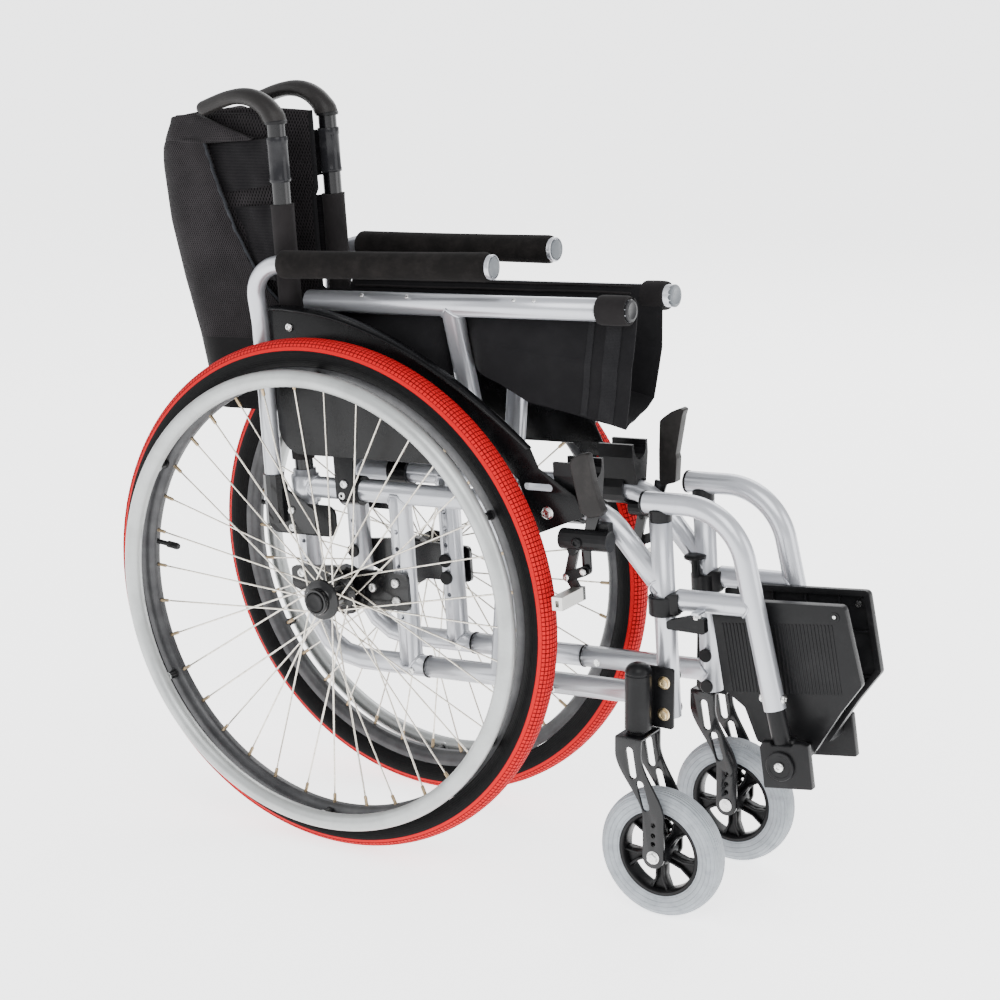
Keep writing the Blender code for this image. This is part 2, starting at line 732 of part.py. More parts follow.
def saddle(x):
    """Clamp round the upper tube with an open cradle for the seat rail above it."""
    clamp_r = TUBE_R + GAP + SADDLE_WALL
    half = SADDLE_CLAMP_LENGTH / 2
    clamp = tube([rail_point(x - half, UPPER_Z), rail_point(x + half, UPPER_Z)], clamp_r)
    groove_r = running_bore(SEAT_RAIL_R)
    outer = groove_r + SADDLE_WALL
    top = SADDLE_REST_Z + SADDLE_LIP
    cradle_outline = [(-FRAME_Y - outer, top), (-FRAME_Y - outer, SADDLE_REST_Z - outer / 2),
                      (-FRAME_Y - clamp_r / 2, UPPER_Z), (-FRAME_Y + clamp_r / 2, UPPER_Z),
                      (-FRAME_Y + outer, SADDLE_REST_Z - outer / 2), (-FRAME_Y + outer, top)]
    cradle = slab(cradle_outline, x - half, x - half + SADDLE_CRADLE_LENGTH, "x")
    bore = tube([rail_point(x - SADDLE_CRADLE_LENGTH, UPPER_Z),
                 rail_point(x + SADDLE_CRADLE_LENGTH, UPPER_Z)], TUBE_R + GAP)
    groove = tube([rail_point(x - SADDLE_CRADLE_LENGTH, SADDLE_REST_Z),
                   rail_point(x + SADDLE_CRADLE_LENGTH, SADDLE_REST_Z)], groove_r)
    mouth = block((x - SADDLE_CRADLE_LENGTH, -FRAME_Y - groove_r, SADDLE_REST_Z),
                  (x + SADDLE_CRADLE_LENGTH, -FRAME_Y + groove_r, top + SADDLE_LIP))
    return cut(union(clamp, cradle), bore, groove, mouth)


def axle_plate():
    """Bolted axle plate with its round boss, the hub spacer and the quick-release axle."""
    inner = -FRAME_Y - POST_R - GAP
    outer = inner - PLATE_THICKNESS
    plate = slab(rounded(PLATE_CORNERS, PLATE_CORNER_R, 2), outer, inner)
    boss = turned([(-PLATE_THICKNESS / 2, PLATE_BOSS_R), (PLATE_BOSS_DEPTH, PLATE_BOSS_R)],
                  (0.0, outer, 0.0), (0, -1, 0))
    spacer = turned([(0.0, RECEIVER_R), (outer - HUB_INNER_Y - GAP, RECEIVER_R)], (0.0, outer, 0.0),
                    (0, -1, 0), TUBE_SIDES)
    axle = tube([(0.0, inner - GAP, 0.0), (0.0, HUB_CAP_Y + HUB_RECESS + GAP, 0.0)], AXLE_R)
    return union(plate, boss, spacer, axle)


def axle_button():
    """Release button of the axle, which slides into the recess in the hub."""
    face = HUB_CAP_Y + HUB_RECESS - AXLE_BUTTON_TRAVEL - RUNNING_GAP
    return turned([(0.0, AXLE_BUTTON_R), (AXLE_BUTTON_HEAD, AXLE_BUTTON_R)], (0.0, face, 0.0), (0, -1, 0),
                  TUBE_SIDES)


def arm_bracket():
    """Armrest bracket: a plate on the rear post with a round socket for the armrest tube."""
    inner = -FRAME_Y - COLLAR_R - GAP
    plate = slab(rounded(BRACKET_CORNERS, BRACKET_CORNER_R, 2), inner - BRACKET_THICKNESS, inner)
    foot = (ARM_POST_X, ARM_POST_Y)
    socket = tube([(*foot, BRACKET_SOCKET_Z), (*foot, ARM_FOOT_Z - GAP)], BRACKET_SOCKET_R)
    bore = tube([(*foot, ARM_FOOT_Z - ARM_SPIGOT - RUNNING_GAP), (*foot, ARM_FOOT_Z + GAP)],
                running_bore(ARM_SPIGOT_R))
    return cut(union(plate, socket), bore)


def arm_direction():
    """Start of the armrest's level stretch and its direction, seen from above almost straight ahead."""
    start = Vector((ARM_POST_X, ARM_REAR_Y, ARM_TOP_Z))
    end = Vector((PAD_FRONT_X, ARM_FRONT_Y, ARM_TOP_Z))
    return start, (end - start).normalized()


def arm_point(x):
    """Point on the level stretch of the armrest tube at a distance ahead."""
    start, ahead = arm_direction()
    return start + ahead * (x - start.x) / ahead.x


def armrest_tube():
    """Bent armrest tube with the caps at the ends of its pad and a spigot for the bracket."""
    foot = Vector((ARM_POST_X, ARM_POST_Y, ARM_FOOT_Z))
    kick = Vector((ARM_POST_X, ARM_POST_Y, ARM_KICK_Z))
    start, ahead = arm_direction()
    end = arm_point(PAD_FRONT_X)
    bar = tube(fillet([foot, kick, start, end - ahead * ARM_CAP_LENGTH / 2], ARM_BEND_R), ARM_TUBE_R)
    depth = Vector((0.0, 0.0, ARM_SPIGOT))
    spigot = tube([foot - depth, foot + depth], ARM_SPIGOT_R)
    front_cap = tube([end - ahead * ARM_CAP_LENGTH, end], PAD_R)
    rear = arm_point(PAD_REAR_X)
    rear_cap = tube([rear - ahead * ARM_CAP_LENGTH, rear], PAD_R)
    return union(bar, spigot, front_cap, rear_cap)


def armrest_pad():
    """Foam sleeve round the armrest tube."""
    ahead = arm_direction()[1]
    rear = arm_point(PAD_REAR_X) + ahead * GAP
    front = arm_point(PAD_FRONT_X) - ahead * (ARM_CAP_LENGTH + GAP)
    foam = tube([rear, front], PAD_R, ROUND_SIDES)
    return cut(foam, tube([rear - ahead * GAP, front + ahead * GAP], PAD_BORE_R, ROUND_SIDES))


def side_guard():
    """Plastic side guard with a lip over the wheel, its frame clamp and its spacers."""
    curve = [GUARD_CORNER, *circle_through(*GUARD_ARCH, GUARD_STEPS)]
    rear_centre = (GUARD_CORNER[0] + GUARD_REAR_R, GUARD_LOWER_Z + GUARD_REAR_R)
    rear = arc(GUARD_REAR_R, -math.pi / 2, -math.pi, 4, rear_centre)
    inner = GUARD_Y + GUARD_THICKNESS / 2
    outline = [*curve, *GUARD_FRONT, (GUARD_LOWER_X, GUARD_LOWER_Z), *rear]
    panel = slab(outline, inner - GUARD_THICKNESS, inner)
    shares = [1 - GUARD_LIP_THICKNESS / math.hypot(x, z) for x, z in curve]
    below = [(x * share, z * share) for (x, z), share in zip(curve, shares)]
    lip = slab([*curve, *reversed(below)], GUARD_Y - GUARD_LIP_WIDTH, GUARD_Y)
    clamp_r = TUBE_R + GAP + SADDLE_WALL
    half = SADDLE_CLAMP_LENGTH / 2
    ends = (GUARD_CLAMP_X - half, GUARD_CLAMP_X + half)
    clamp = tube([rail_point(x, UPPER_Z) for x in ends], clamp_r)
    strap = block((ends[0], GUARD_Y, UPPER_Z - clamp_r / 2),
                  (ends[1], -FRAME_Y - TUBE_R - 2 * GAP, GUARD_STRAP_TOP_Z))
    bore = tube([rail_point(ends[0] - half, UPPER_Z), rail_point(ends[1] + half, UPPER_Z)], TUBE_R + GAP)
    slot = slab(slot_outline(*GUARD_SLOT, GUARD_SLOT_R), GUARD_Y - half, inner + GAP)
    spacers = []
    for (x, z), reach in ((GUARD_SCREW, -FRAME_Y - BACK_POST_R - BACK_SLEEVE_WALL - 2 * GAP),
                          (GUARD_FRONT_SCREW, -FRAME_Y - clamp_r - GAP)):
        spacers.append(turned([(0.0, GUARD_SPACER_R), (reach - GUARD_Y, GUARD_SPACER_R)], (x, GUARD_Y, z),
                              (0, 1, 0), SMALL_SIDES))
    return cut(union(panel, lip, clamp, strap, *spacers), bore, slot)


def brace(leg_x):
    """Brace leg with a sleeve that turns on the left lower tube and the right seat rail on top."""
    leg = tube([(leg_x, FRAME_Y, LOWER_Z), (leg_x, -FRAME_Y, SEAT_RAIL_Z)], LEG_R)
    sleeve = tube([(SLEEVE_REAR_X + WASHER, FRAME_Y, LOWER_Z),
                   (SLEEVE_FRONT_X - WASHER, FRAME_Y, LOWER_Z)], TUBE_R)
    rail = tube([rail_point(SEAT_RAIL_REAR_X, SEAT_RAIL_Z), rail_point(SEAT_RAIL_FRONT_X, SEAT_RAIL_Z)],
                SEAT_RAIL_R)
    bore = tube([(SLEEVE_REAR_X, FRAME_Y, LOWER_Z), (SLEEVE_FRONT_X, FRAME_Y, LOWER_Z)],
                TUBE_R - SLEEVE_WALL)
    hole = tube([(leg_x - 2 * LEG_R, 0.0, BRACE_BOLT_Z), (leg_x + 2 * LEG_R, 0.0, BRACE_BOLT_Z)],
                running_bore(BRACE_BOLT_R))
    return cut(union(leg, sleeve, rail), bore, hole)


def cross_pivot_bolt():
    """Bolt through both brace legs, with a spacer collar between them."""
    rear = LEG_REAR_X - LEG_R - RUNNING_GAP
    front = LEG_FRONT_X + LEG_R + RUNNING_GAP
    spacer = (LEG_REAR_X + LEG_R + RUNNING_GAP, LEG_FRONT_X - LEG_R - RUNNING_GAP)
    profile = [(rear - BRACE_BOLT_HEAD, BRACE_BOLT_HEAD_R), (rear, BRACE_BOLT_HEAD_R), (rear, BRACE_BOLT_R),
               (spacer[0], BRACE_BOLT_R), (spacer[0], BRACE_BOLT_HEAD_R), (spacer[1], BRACE_BOLT_HEAD_R),
               (spacer[1], BRACE_BOLT_R), (front, BRACE_BOLT_R), (front, BRACE_BOLT_HEAD_R),
               (front + BRACE_BOLT_HEAD, BRACE_BOLT_HEAD_R)]
    return turned(profile, (0.0, 0.0, BRACE_BOLT_Z), (1, 0, 0), TUBE_SIDES)


def sling_notch():
    """Front and rear ends of the opening in the sling where the brace legs meet the rails."""
    clear = LEG_R + SLING_LEG_CLEARANCE
    return LEG_REAR_X - clear, LEG_FRONT_X + clear


def sling_edge():
    """Lower edge of the hanging sling from rear to front: it rises where it rides over the legs."""
    rear, front = sling_notch()
    low = SEAT_RAIL_Z - SLING_DROP
    shoulder = low + SLING_SHOULDER_RISE
    crest = low + SLING_CREST_RISE
    rear_shoulder_x = rear + front - SLING_SHOULDER_X
    return [(SLING_REAR_X, low), (rear_shoulder_x, shoulder), (rear, crest), (front, crest),
            (SLING_SHOULDER_X, shoulder), (SLING_FRONT_X, low)]


def seat_flap():
    """Sling wall hanging from its hem round the seat rail, open where a brace leg meets the rail."""
    hem_r = SEAT_RAIL_R + GAP + SLING_HEM_WALL
    hem = tube([rail_point(SLING_REAR_X, SEAT_RAIL_Z), rail_point(SLING_FRONT_X, SEAT_RAIL_Z)], hem_r)
    edge = sling_edge()
    root = SEAT_RAIL_Z - SEAT_RAIL_R
    outline = [(SLING_REAR_X, root), *edge, (SLING_FRONT_X, root)]
    half = SLING_THICKNESS / 2
    wall = slab(outline, -FRAME_Y - half, -FRAME_Y + half)
    bore = tube([rail_point(SLING_REAR_X - LEG_R, SEAT_RAIL_Z),
                 rail_point(SLING_FRONT_X + LEG_R, SEAT_RAIL_Z)], SEAT_RAIL_R + GAP)
    rear, front = sling_notch()
    notch = block((rear, -FRAME_Y - 2 * hem_r, SEAT_RAIL_Z - SLING_DROP),
                  (front, -FRAME_Y + 2 * hem_r, SEAT_RAIL_Z + SLING_LEG_CLEARANCE))
    return cut(union(hem, wall), bore, notch)


def seat_centre():
    """Bottom of the folded sling, narrowed to a web where it rides between the brace legs."""
    edge = [(x, z - GAP) for x, z in sling_edge()]
    under = [(x, z - SLING_THICKNESS) for x, z in reversed(edge)]
    half = FRAME_Y + SLING_THICKNESS / 2
    sling = slab([*edge, *under], -half, half)
    rear, front = sling_notch()
    low = SEAT_RAIL_Z - SLING_DROP
    sides = [block((rear - GAP, min(side * SLING_WEB_HALF, side * 2 * half), low),
                   (front + GAP, max(side * SLING_WEB_HALF, side * 2 * half), SEAT_RAIL_Z))
             for side in (-1, 1)]
    return cut(sling, *sides)


def back_panel():
    """Half of the folded back upholstery: a hem on the post and a panel that curls in to the middle."""
    hem_r = BACK_POST_R + GAP + BACK_SLEEVE_WALL
    hem = tube([rail_point(REAR_POST_X, BACK_SLEEVE_BOTTOM_Z), rail_point(REAR_POST_X, BACK_SLEEVE_TOP_Z)],
               hem_r)
    rings = []
    for k in range(BACK_LEVELS):
        share = k / (BACK_LEVELS - 1)
        z = BACK_BOTTOM_Z + (BACK_TOP_Z - BACK_BOTTOM_Z) * share
        reach = BACK_REACH_BOTTOM + (BACK_REACH_TOP - BACK_REACH_BOTTOM) * math.sin(share * math.pi / 2)
        apex = REAR_POST_X - reach
        centre = (apex + FRAME_Y, 0.0)
        outer = arc(FRAME_Y, -math.pi / 2, -math.pi, 5, centre)
        inner = arc(FRAME_Y - BACK_PAD, -math.pi, -math.pi / 2, 5, centre)
        outline = [(REAR_POST_X, -FRAME_Y), *outer, *inner, (REAR_POST_X, -FRAME_Y + BACK_PAD)]
        rings.append([Vector((x, min(y, -GAP / 2), z)) for x, y in outline])
    panel = rings_to_solid(rings)
    corner = slab([(REAR_POST_X + FRAME_Y, BACK_SLEEVE_TOP_Z), (REAR_POST_X - hem_r, BACK_SLEEVE_TOP_Z),
                   (REAR_POST_X - 2 * FRAME_Y, BACK_TOP_Z + FRAME_Y),
                   (REAR_POST_X + FRAME_Y, BACK_TOP_Z + FRAME_Y)], -2 * FRAME_Y, FRAME_Y)
    bore = tube([rail_point(REAR_POST_X, BACK_SLEEVE_BOTTOM_Z - hem_r),
                 rail_point(REAR_POST_X, BACK_TOP_Z)], BACK_POST_R + GAP)
    return cut(union(hem, panel), corner, bore)


def hanger_tube():
    """Swing-away hanger: bent tube, pin in the front tube, cross tube and a cuff round the front tube."""
    foot = rail_point(HANGER_FOOT_X, HANGER_FOOT_Z)
    corner = rail_point(HANGER_CORNER_X, HANGER_Z)
    loop = tube(fillet([rail_point(HANGER_REAR_X, HANGER_Z), corner, foot], HANGER_BEND_R, 8), HANGER_R)
    seat = FRONT_TUBE_TOP_Z + RUNNING_GAP
    pin = turned([(HANGER_PIN_BOTTOM_Z, HANGER_PIN_R), (seat, HANGER_PIN_R), (seat, TUBE_R),
                  (HANGER_Z - HANGER_R / 2, TUBE_R)], rail_point(FRONT_TUBE_X, 0.0), (0, 0, 1), TUBE_SIDES)
    bore_r = running_bore(TUBE_R)
    cuff_r = bore_r + HANGER_CUFF_WALL
    cuff = tube([rail_point(FRONT_TUBE_X, HANGER_CUFF_BOTTOM_Z),
                 rail_point(FRONT_TUBE_X, HANGER_CUFF_TOP_Z)], cuff_r)
    share = (HANGER_Z - HANGER_CROSS_Z) / (HANGER_Z - HANGER_FOOT_Z)
    cross_end = HANGER_CORNER_X + (HANGER_FOOT_X - HANGER_CORNER_X) * share
    cross = tube([rail_point(FRONT_TUBE_X + bore_r + HANGER_CUFF_WALL / 2, HANGER_CROSS_Z),
                  rail_point(cross_end, HANGER_CROSS_Z)], HANGER_CROSS_R)
    tab = block((LATCH_PIVOT_X - 2 * LATCH_PIN_R, LATCH_PIVOT_Y - 2 * LATCH_PIN_R, LATCH_TAB_Z),
                (LATCH_PIVOT_X + 2 * LATCH_PIN_R, -FRAME_Y, LATCH_TAB_Z + 2 * LATCH_PIN_R))
    latch_pin = tube([(LATCH_PIVOT_X, LATCH_PIVOT_Y, LATCH_PIN_BOTTOM_Z),
                      (LATCH_PIVOT_X, LATCH_PIVOT_Y, LATCH_TAB_Z + LATCH_PIN_R)], LATCH_PIN_R, SMALL_SIDES)
    bore = tube([rail_point(FRONT_TUBE_X, HANGER_CUFF_BOTTOM_Z - bore_r),
                 rail_point(FRONT_TUBE_X, HANGER_CUFF_TOP_Z + bore_r)], bore_r)
    return cut(union(loop, pin, cuff, cross, tab, latch_pin), bore)


def hanger_latch():
    """Release lever that turns on a pin below the cross tube."""
    half = LATCH_THICKNESS / 2
    lever = slab(rounded(LATCH_CORNERS, LATCH_CORNER_R, 2), LATCH_PIVOT_Y - half, LATCH_PIVOT_Y + half)
    bore_r = running_bore(LATCH_PIN_R, SMALL_SIDES)
    bore = tube([(LATCH_PIVOT_X, LATCH_PIVOT_Y, LATCH_PIN_BOTTOM_Z - RUNNING_GAP),
                 (LATCH_PIVOT_X, LATCH_PIVOT_Y, LATCH_TAB_Z)], bore_r, SMALL_SIDES)
    return cut(lever, bore)


def foot_matrix():
    """Move from the footrest block's own space to the chassis space."""
    return (Matrix.Translation((FOOT_BLOCK_X, 0.0, FOOT_BLOCK_Z))
            @ Matrix.Rotation(-FOOT_TILT, 4, "Y"))


def foot_pivot():
    """Middle of the footplate hinge in the chassis space."""
    return foot_matrix() @ Vector((FOOT_KNUCKLE_X, FOOT_PIVOT_Y, FOOT_PIVOT_RISE))


def footrest_extension():
    """Footrest extension: inner tube, end block with its hinge knuckle and pin, and the round boss."""
    start = Vector(rail_point(HANGER_FOOT_X, HANGER_FOOT_Z))
    ahead = (start - Vector(rail_point(HANGER_CORNER_X, HANGER_Z))).normalized()
    length, top = FOOT_BLOCK_LENGTH / 2, FOOT_BLOCK_HEIGHT / 2
    end = start + ahead * (start.z - FOOT_BLOCK_Z - top + FOOT_DISC_DEPTH)
    bar = tube([start + ahead * GAP, end], EXTENSION_R)
    inner = FOOT_BLOCK_OUTER_Y + FOOT_BLOCK_THICKNESS
    corners = [(-length, -top), (length, -top), (length, top), (-length, top)]
    back = slab(rounded(corners, FOOT_BLOCK_CORNER_R, 2), FOOT_BLOCK_OUTER_Y, inner)
    reach = FOOT_KNUCKLE_LENGTH / 2
    knuckle = block((FOOT_KNUCKLE_X - reach, inner - GAP, FOOT_PIVOT_RISE - FOOT_KNUCKLE_DROP),
                    (FOOT_KNUCKLE_X + reach, FOOT_KNUCKLE_INNER_Y, top))
    half = reach + FOOT_LUG_GAP + FOOT_LUG_LENGTH
    pin = tube([(FOOT_KNUCKLE_X - half, FOOT_PIVOT_Y, FOOT_PIVOT_RISE),
                (FOOT_KNUCKLE_X + half, FOOT_PIVOT_Y, FOOT_PIVOT_RISE)], FOOT_PIN_R)
    disc = turned([(0.0, FOOT_DISC_R), (FOOT_DISC_DEPTH + FOOT_PIN_R, FOOT_DISC_R)],
                  (FOOT_KNUCKLE_X, FOOT_BLOCK_OUTER_Y + FOOT_PIN_R, 0.0), (0, -1, 0))
    return union(bar, *[moved(shape, foot_matrix()) for shape in (back, knuckle, pin, disc)])


def footplate():
    """Folding footplate: it leans to its hanger, has a grooved tread and two lugs on the hinge pin."""
    inner = FOOTPLATE_OUTER_Y + FOOTPLATE_THICKNESS
    plate = slab(rounded(FOOTPLATE_CORNERS, FOOTPLATE_CORNER_R, 2), FOOTPLATE_OUTER_Y, inner)
    rear, front = min(FOOTPLATE_CORNERS), max(FOOTPLATE_CORNERS)
    top = max(rise for _, rise in FOOTPLATE_CORNERS) + GAP
    taper = FOOTPLATE_THICKNESS - FOOTPLATE_EDGE
    bevel = slab([(inner - taper, top), (inner + GAP, top), (inner + GAP, top - 3 * taper)],
                 rear[0] - taper, front[0] + taper, "x")
    width = FOOTPLATE_GROOVE_WIDTH / 2
    start, stop = FOOTPLATE_GROOVE_REACH
    low, high = FOOTPLATE_GROOVE_RISE
    pitch = (stop - start) / (FOOTPLATE_GROOVES - 1)
    grooves = [block((start + pitch * k - width, FOOTPLATE_OUTER_Y - width, low),
                     (start + pitch * k + width, FOOTPLATE_OUTER_Y + FOOTPLATE_GROOVE_DEPTH, high))
               for k in range(FOOTPLATE_GROOVES)]
    hinge = Vector((0.0, FOOT_PIVOT_Y, FOOT_PIVOT_RISE))
    lean = (Matrix.Translation(hinge) @ Matrix.Rotation(FOOTPLATE_LEAN, 4, "X")
            @ Matrix.Translation(-hinge))
    leaned = moved(cut(plate, bevel, *grooves), lean)
    reach = FOOT_KNUCKLE_LENGTH / 2 + FOOT_LUG_GAP
    eye = arc(FOOT_LUG_R, math.pi / 2, 3 * math.pi / 2, 6, (FOOT_PIVOT_Y, FOOT_PIVOT_RISE))
    face = inner - FOOTPLATE_EDGE
    lug = [*eye, (face, FOOT_PIVOT_RISE - FOOT_LUG_R), (face, FOOTPLATE_LUG_TOP),
           (FOOTPLATE_OUTER_Y, FOOTPLATE_LUG_TOP), (FOOTPLATE_OUTER_Y, FOOT_PIVOT_RISE + FOOT_LUG_R)]
    lugs = [slab(lug, FOOT_KNUCKLE_X + side * reach, FOOT_KNUCKLE_X + side * (reach + FOOT_LUG_LENGTH), "x")
            for side in (-1, 1)]
    span = reach + 2 * FOOT_LUG_LENGTH
    bore = tube([(FOOT_KNUCKLE_X - span, FOOT_PIVOT_Y, FOOT_PIVOT_RISE),
                 (FOOT_KNUCKLE_X + span, FOOT_PIVOT_Y, FOOT_PIVOT_RISE)], running_bore(FOOT_PIN_R))
    return moved(cut(union(leaned, *lugs), bore), foot_matrix())


def brake_eye(centre, y, radius, reach):
    """Short round piece along the chair's width at a pivot of the wheel lock."""
    return turned([(-reach, radius), (reach, radius)], (centre[0], y, centre[1]), (0, 1, 0), TUBE_SIDES)


def brake_strap(start, end, radius=BRAKE_EYE_R):
    """Flat arm with round ends between two pivots."""
    half = BRAKE_ARM_THICKNESS / 2
    return slab(slot_outline(start, end, radius, 4), BRAKE_ARM_Y - half, BRAKE_ARM_Y + half)


def brake_body():
    """Wheel lock body: slotted housing, frame lug, and the pins of the lever and the shoe arm."""
    housing = tube([(BRAKE_REAR_X, BRAKE_Y, BRAKE_Z), (BRAKE_FRONT_X, BRAKE_Y, BRAKE_Z)], BRAKE_BODY_R,
                   ROUND_SIDES)
    half = BRAKE_ARM_THICKNESS / 2 + 2 * GAP
    lug = block((BRAKE_LUG_REAR_X, BRAKE_ARM_Y + half, BRAKE_Z - BRAKE_PIN_R),
                (BRAKE_LUG_FRONT_X, -FRAME_Y - TUBE_R - GAP, BRAKE_LUG_TOP_Z))
    cheek = slab(slot_outline(SHOE_PIVOT, (SHOE_PIVOT[0] + BRAKE_PIN_R, BRAKE_Z), BRAKE_EYE_R),
                 BRAKE_ARM_Y - half - 2 * BRAKE_PIN_R, BRAKE_ARM_Y - half)
    slot = block((BRAKE_SLOT_REAR_X, BRAKE_ARM_Y - half, BRAKE_Z - 2 * BRAKE_BODY_R),
                 (BRAKE_SLOT_FRONT_X, BRAKE_ARM_Y + half, BRAKE_Z + 2 * BRAKE_BODY_R))
    pins = [brake_eye(BRAKE_PIVOT, BRAKE_ARM_Y, BRAKE_PIN_R, 2 * half),
            tube([(SHOE_PIVOT[0], BRAKE_ARM_Y - 2 * half, SHOE_PIVOT[1]),
                  (SHOE_PIVOT[0], BRAKE_ARM_Y + half, SHOE_PIVOT[1])], BRAKE_PIN_R)]
    return union(cut(union(housing, lug, cheek), slot), *pins)


def brake_lever():
    """Wheel lock lever: grip, stem through the housing and the rivet for the link."""
    thick = BRAKE_GRIP_HALF_THICKNESS
    grip = slab(rounded(BRAKE_GRIP_CORNERS, BRAKE_GRIP_CORNER_R), BRAKE_Y - thick, BRAKE_Y + thick)
    stem = union(brake_strap(BRAKE_LEVER_RIVET, BRAKE_PIVOT), brake_strap(BRAKE_PIVOT, BRAKE_STEM_TOP))
    x, z = BRAKE_LEVER_RIVET
    rivet = tube([(x, BRAKE_ARM_Y, z), (x, BRAKE_LINK_Y - BRAKE_ARM_THICKNESS, z)], BRAKE_PIN_R)
    bore = brake_eye(BRAKE_PIVOT, BRAKE_ARM_Y, running_bore(BRAKE_PIN_R), BRAKE_ARM_THICKNESS)
    return cut(union(grip, stem, rivet), bore)


def brake_shoe():
    """Wheel lock shoe: an arm on the housing's pin and a slotted bar across the tyre."""
    arm = union(brake_strap(SHOE_PIVOT, SHOE_RIVET), brake_strap(SHOE_RIVET, SHOE_CENTRE))
    x, z = SHOE_CENTRE
    bar = block((x - SHOE_HALF_DEPTH, SHOE_OUTER_Y, z - SHOE_HALF_HEIGHT),
                (x + SHOE_HALF_DEPTH, SHOE_INNER_Y, z + SHOE_HALF_HEIGHT))
    slot = block((x - SHOE_HALF_DEPTH / 3, SHOE_OUTER_Y - GAP, z - SHOE_HALF_HEIGHT / 2),
                 (x + SHOE_HALF_DEPTH / 3, SHOE_OUTER_Y + SHOE_HALF_HEIGHT, z + SHOE_HALF_HEIGHT / 2))
    rivet = tube([(SHOE_RIVET[0], BRAKE_ARM_Y, SHOE_RIVET[1]),
                  (SHOE_RIVET[0], BRAKE_LINK_Y - BRAKE_ARM_THICKNESS, SHOE_RIVET[1])], BRAKE_PIN_R)
    hole = brake_eye(SHOE_PIVOT, BRAKE_ARM_Y, running_bore(BRAKE_PIN_R), BRAKE_ARM_THICKNESS)
    return cut(union(arm, bar, rivet), slot, hole)


def brake_link():
    """Link between the lever's rivet and the shoe arm's rivet, looser on the lever's."""
    half = BRAKE_ARM_THICKNESS / 2 - GAP
    strap = slab(slot_outline(SHOE_RIVET, BRAKE_LEVER_RIVET, BRAKE_EYE_R, 4), BRAKE_LINK_Y - half,
                 BRAKE_LINK_Y + half)
    loose = running_bore(BRAKE_PIN_R, gap=BRAKE_LOOSE_GAP)
    return cut(strap, brake_eye(SHOE_RIVET, BRAKE_LINK_Y, running_bore(BRAKE_PIN_R), BRAKE_ARM_THICKNESS),
               brake_eye(BRAKE_LEVER_RIVET, BRAKE_LINK_Y, loose, BRAKE_ARM_THICKNESS))


# Right side, in the ground space

def wheel_ring(profile, steps=WHEEL_STEPS):
    """Ring about the rear axle; profile offsets are from the wheel's middle plane."""
    return ring([(radius, WHEEL_Y + y) for radius, y in profile], (0.0, TYRE_R), steps)


def wheel_tyre():
    """Tyre with a rounded tread and a flat seat on the rim."""
    half = TYRE_HALF_WIDTH
    bead = RIM_OUTER_R + GAP
    sides = [(TYRE_R, TREAD_SHARE * half), (TYRE_R - TYRE_SHOULDER, half), (bead, BEAD_SHARE * half)]
    return wheel_ring([*sides, *[(radius, -y) for radius, y in reversed(sides)]])


def wheel_rim():
    """Rim with a flat well and sloping flanks."""
    half = RIM_HALF_WIDTH
    sides = [(RIM_OUTER_R, half), (RIM_OUTER_R - RIM_FLANK, half), (RIM_INNER_R, half / 2)]
    return wheel_ring([*sides, *[(radius, -y) for radius, y in reversed(sides)]])


def spoke_points(flange_y, lean, k):
    """Ends of one spoke, from a flange hole to the rim."""
    angle = 2 * math.pi * k / SPOKES_PER_FLANGE
    start = polar(HUB_FLANGE_R - FLANGE_EDGE, angle, (0.0, TYRE_R))
    end = polar(RIM_INNER_R - SPOKE_END_GAP, angle + lean, (0.0, TYRE_R))
    rim_y = WHEEL_Y + math.copysign(SPOKE_R, flange_y - WHEEL_Y)
    return Vector((start[0], flange_y, start[1])), Vector((end[0], rim_y, end[1]))


def wheel_spokes():
    """Hub with two flanges, an outer cap and crossed spokes."""
    inner_y = HUB_INNER_Y - FLANGE_WIDTH
    outer_y = HUB_CAP_Y + HUB_NOSE
    flanges = (inner_y - FLANGE_WIDTH / 2, outer_y + FLANGE_WIDTH)
    profile = [(HUB_INNER_Y, HUB_R), (inner_y, HUB_R), (inner_y, HUB_FLANGE_R),
               (inner_y - FLANGE_WIDTH, HUB_FLANGE_R), (inner_y - 2 * FLANGE_WIDTH, HUB_R),
               (outer_y + 2 * FLANGE_WIDTH, HUB_R), (outer_y + FLANGE_WIDTH, HUB_CAP_R),
               (outer_y, HUB_CAP_R), (outer_y - FLANGE_WIDTH, HUB_R), (HUB_CAP_Y, HUB_R)]
    hub = turned([(-y, radius) for y, radius in profile], (0.0, 0.0, TYRE_R), (0, -1, 0))
    spokes = bmesh.new()
    for flange_y in flanges:
        for k in range(SPOKES_PER_FLANGE):
            lean = SPOKE_LACE_ANGLE if k % 2 else -SPOKE_LACE_ANGLE
            start, end = spoke_points(flange_y, lean, k)
            start.y += math.copysign(SPOKE_SHIFT, lean)
            gather(spokes, tube([start, end], SPOKE_R, 3))
    bore = tube([(0.0, HUB_INNER_Y + GAP, TYRE_R), (0.0, HUB_CAP_Y - GAP, TYRE_R)], running_bore(AXLE_R))
    recess = tube([(0.0, HUB_CAP_Y + HUB_RECESS, TYRE_R), (0.0, HUB_CAP_Y - GAP, TYRE_R)],
                  running_bore(AXLE_BUTTON_R))
    return cut(union(hub, spokes), bore, recess)


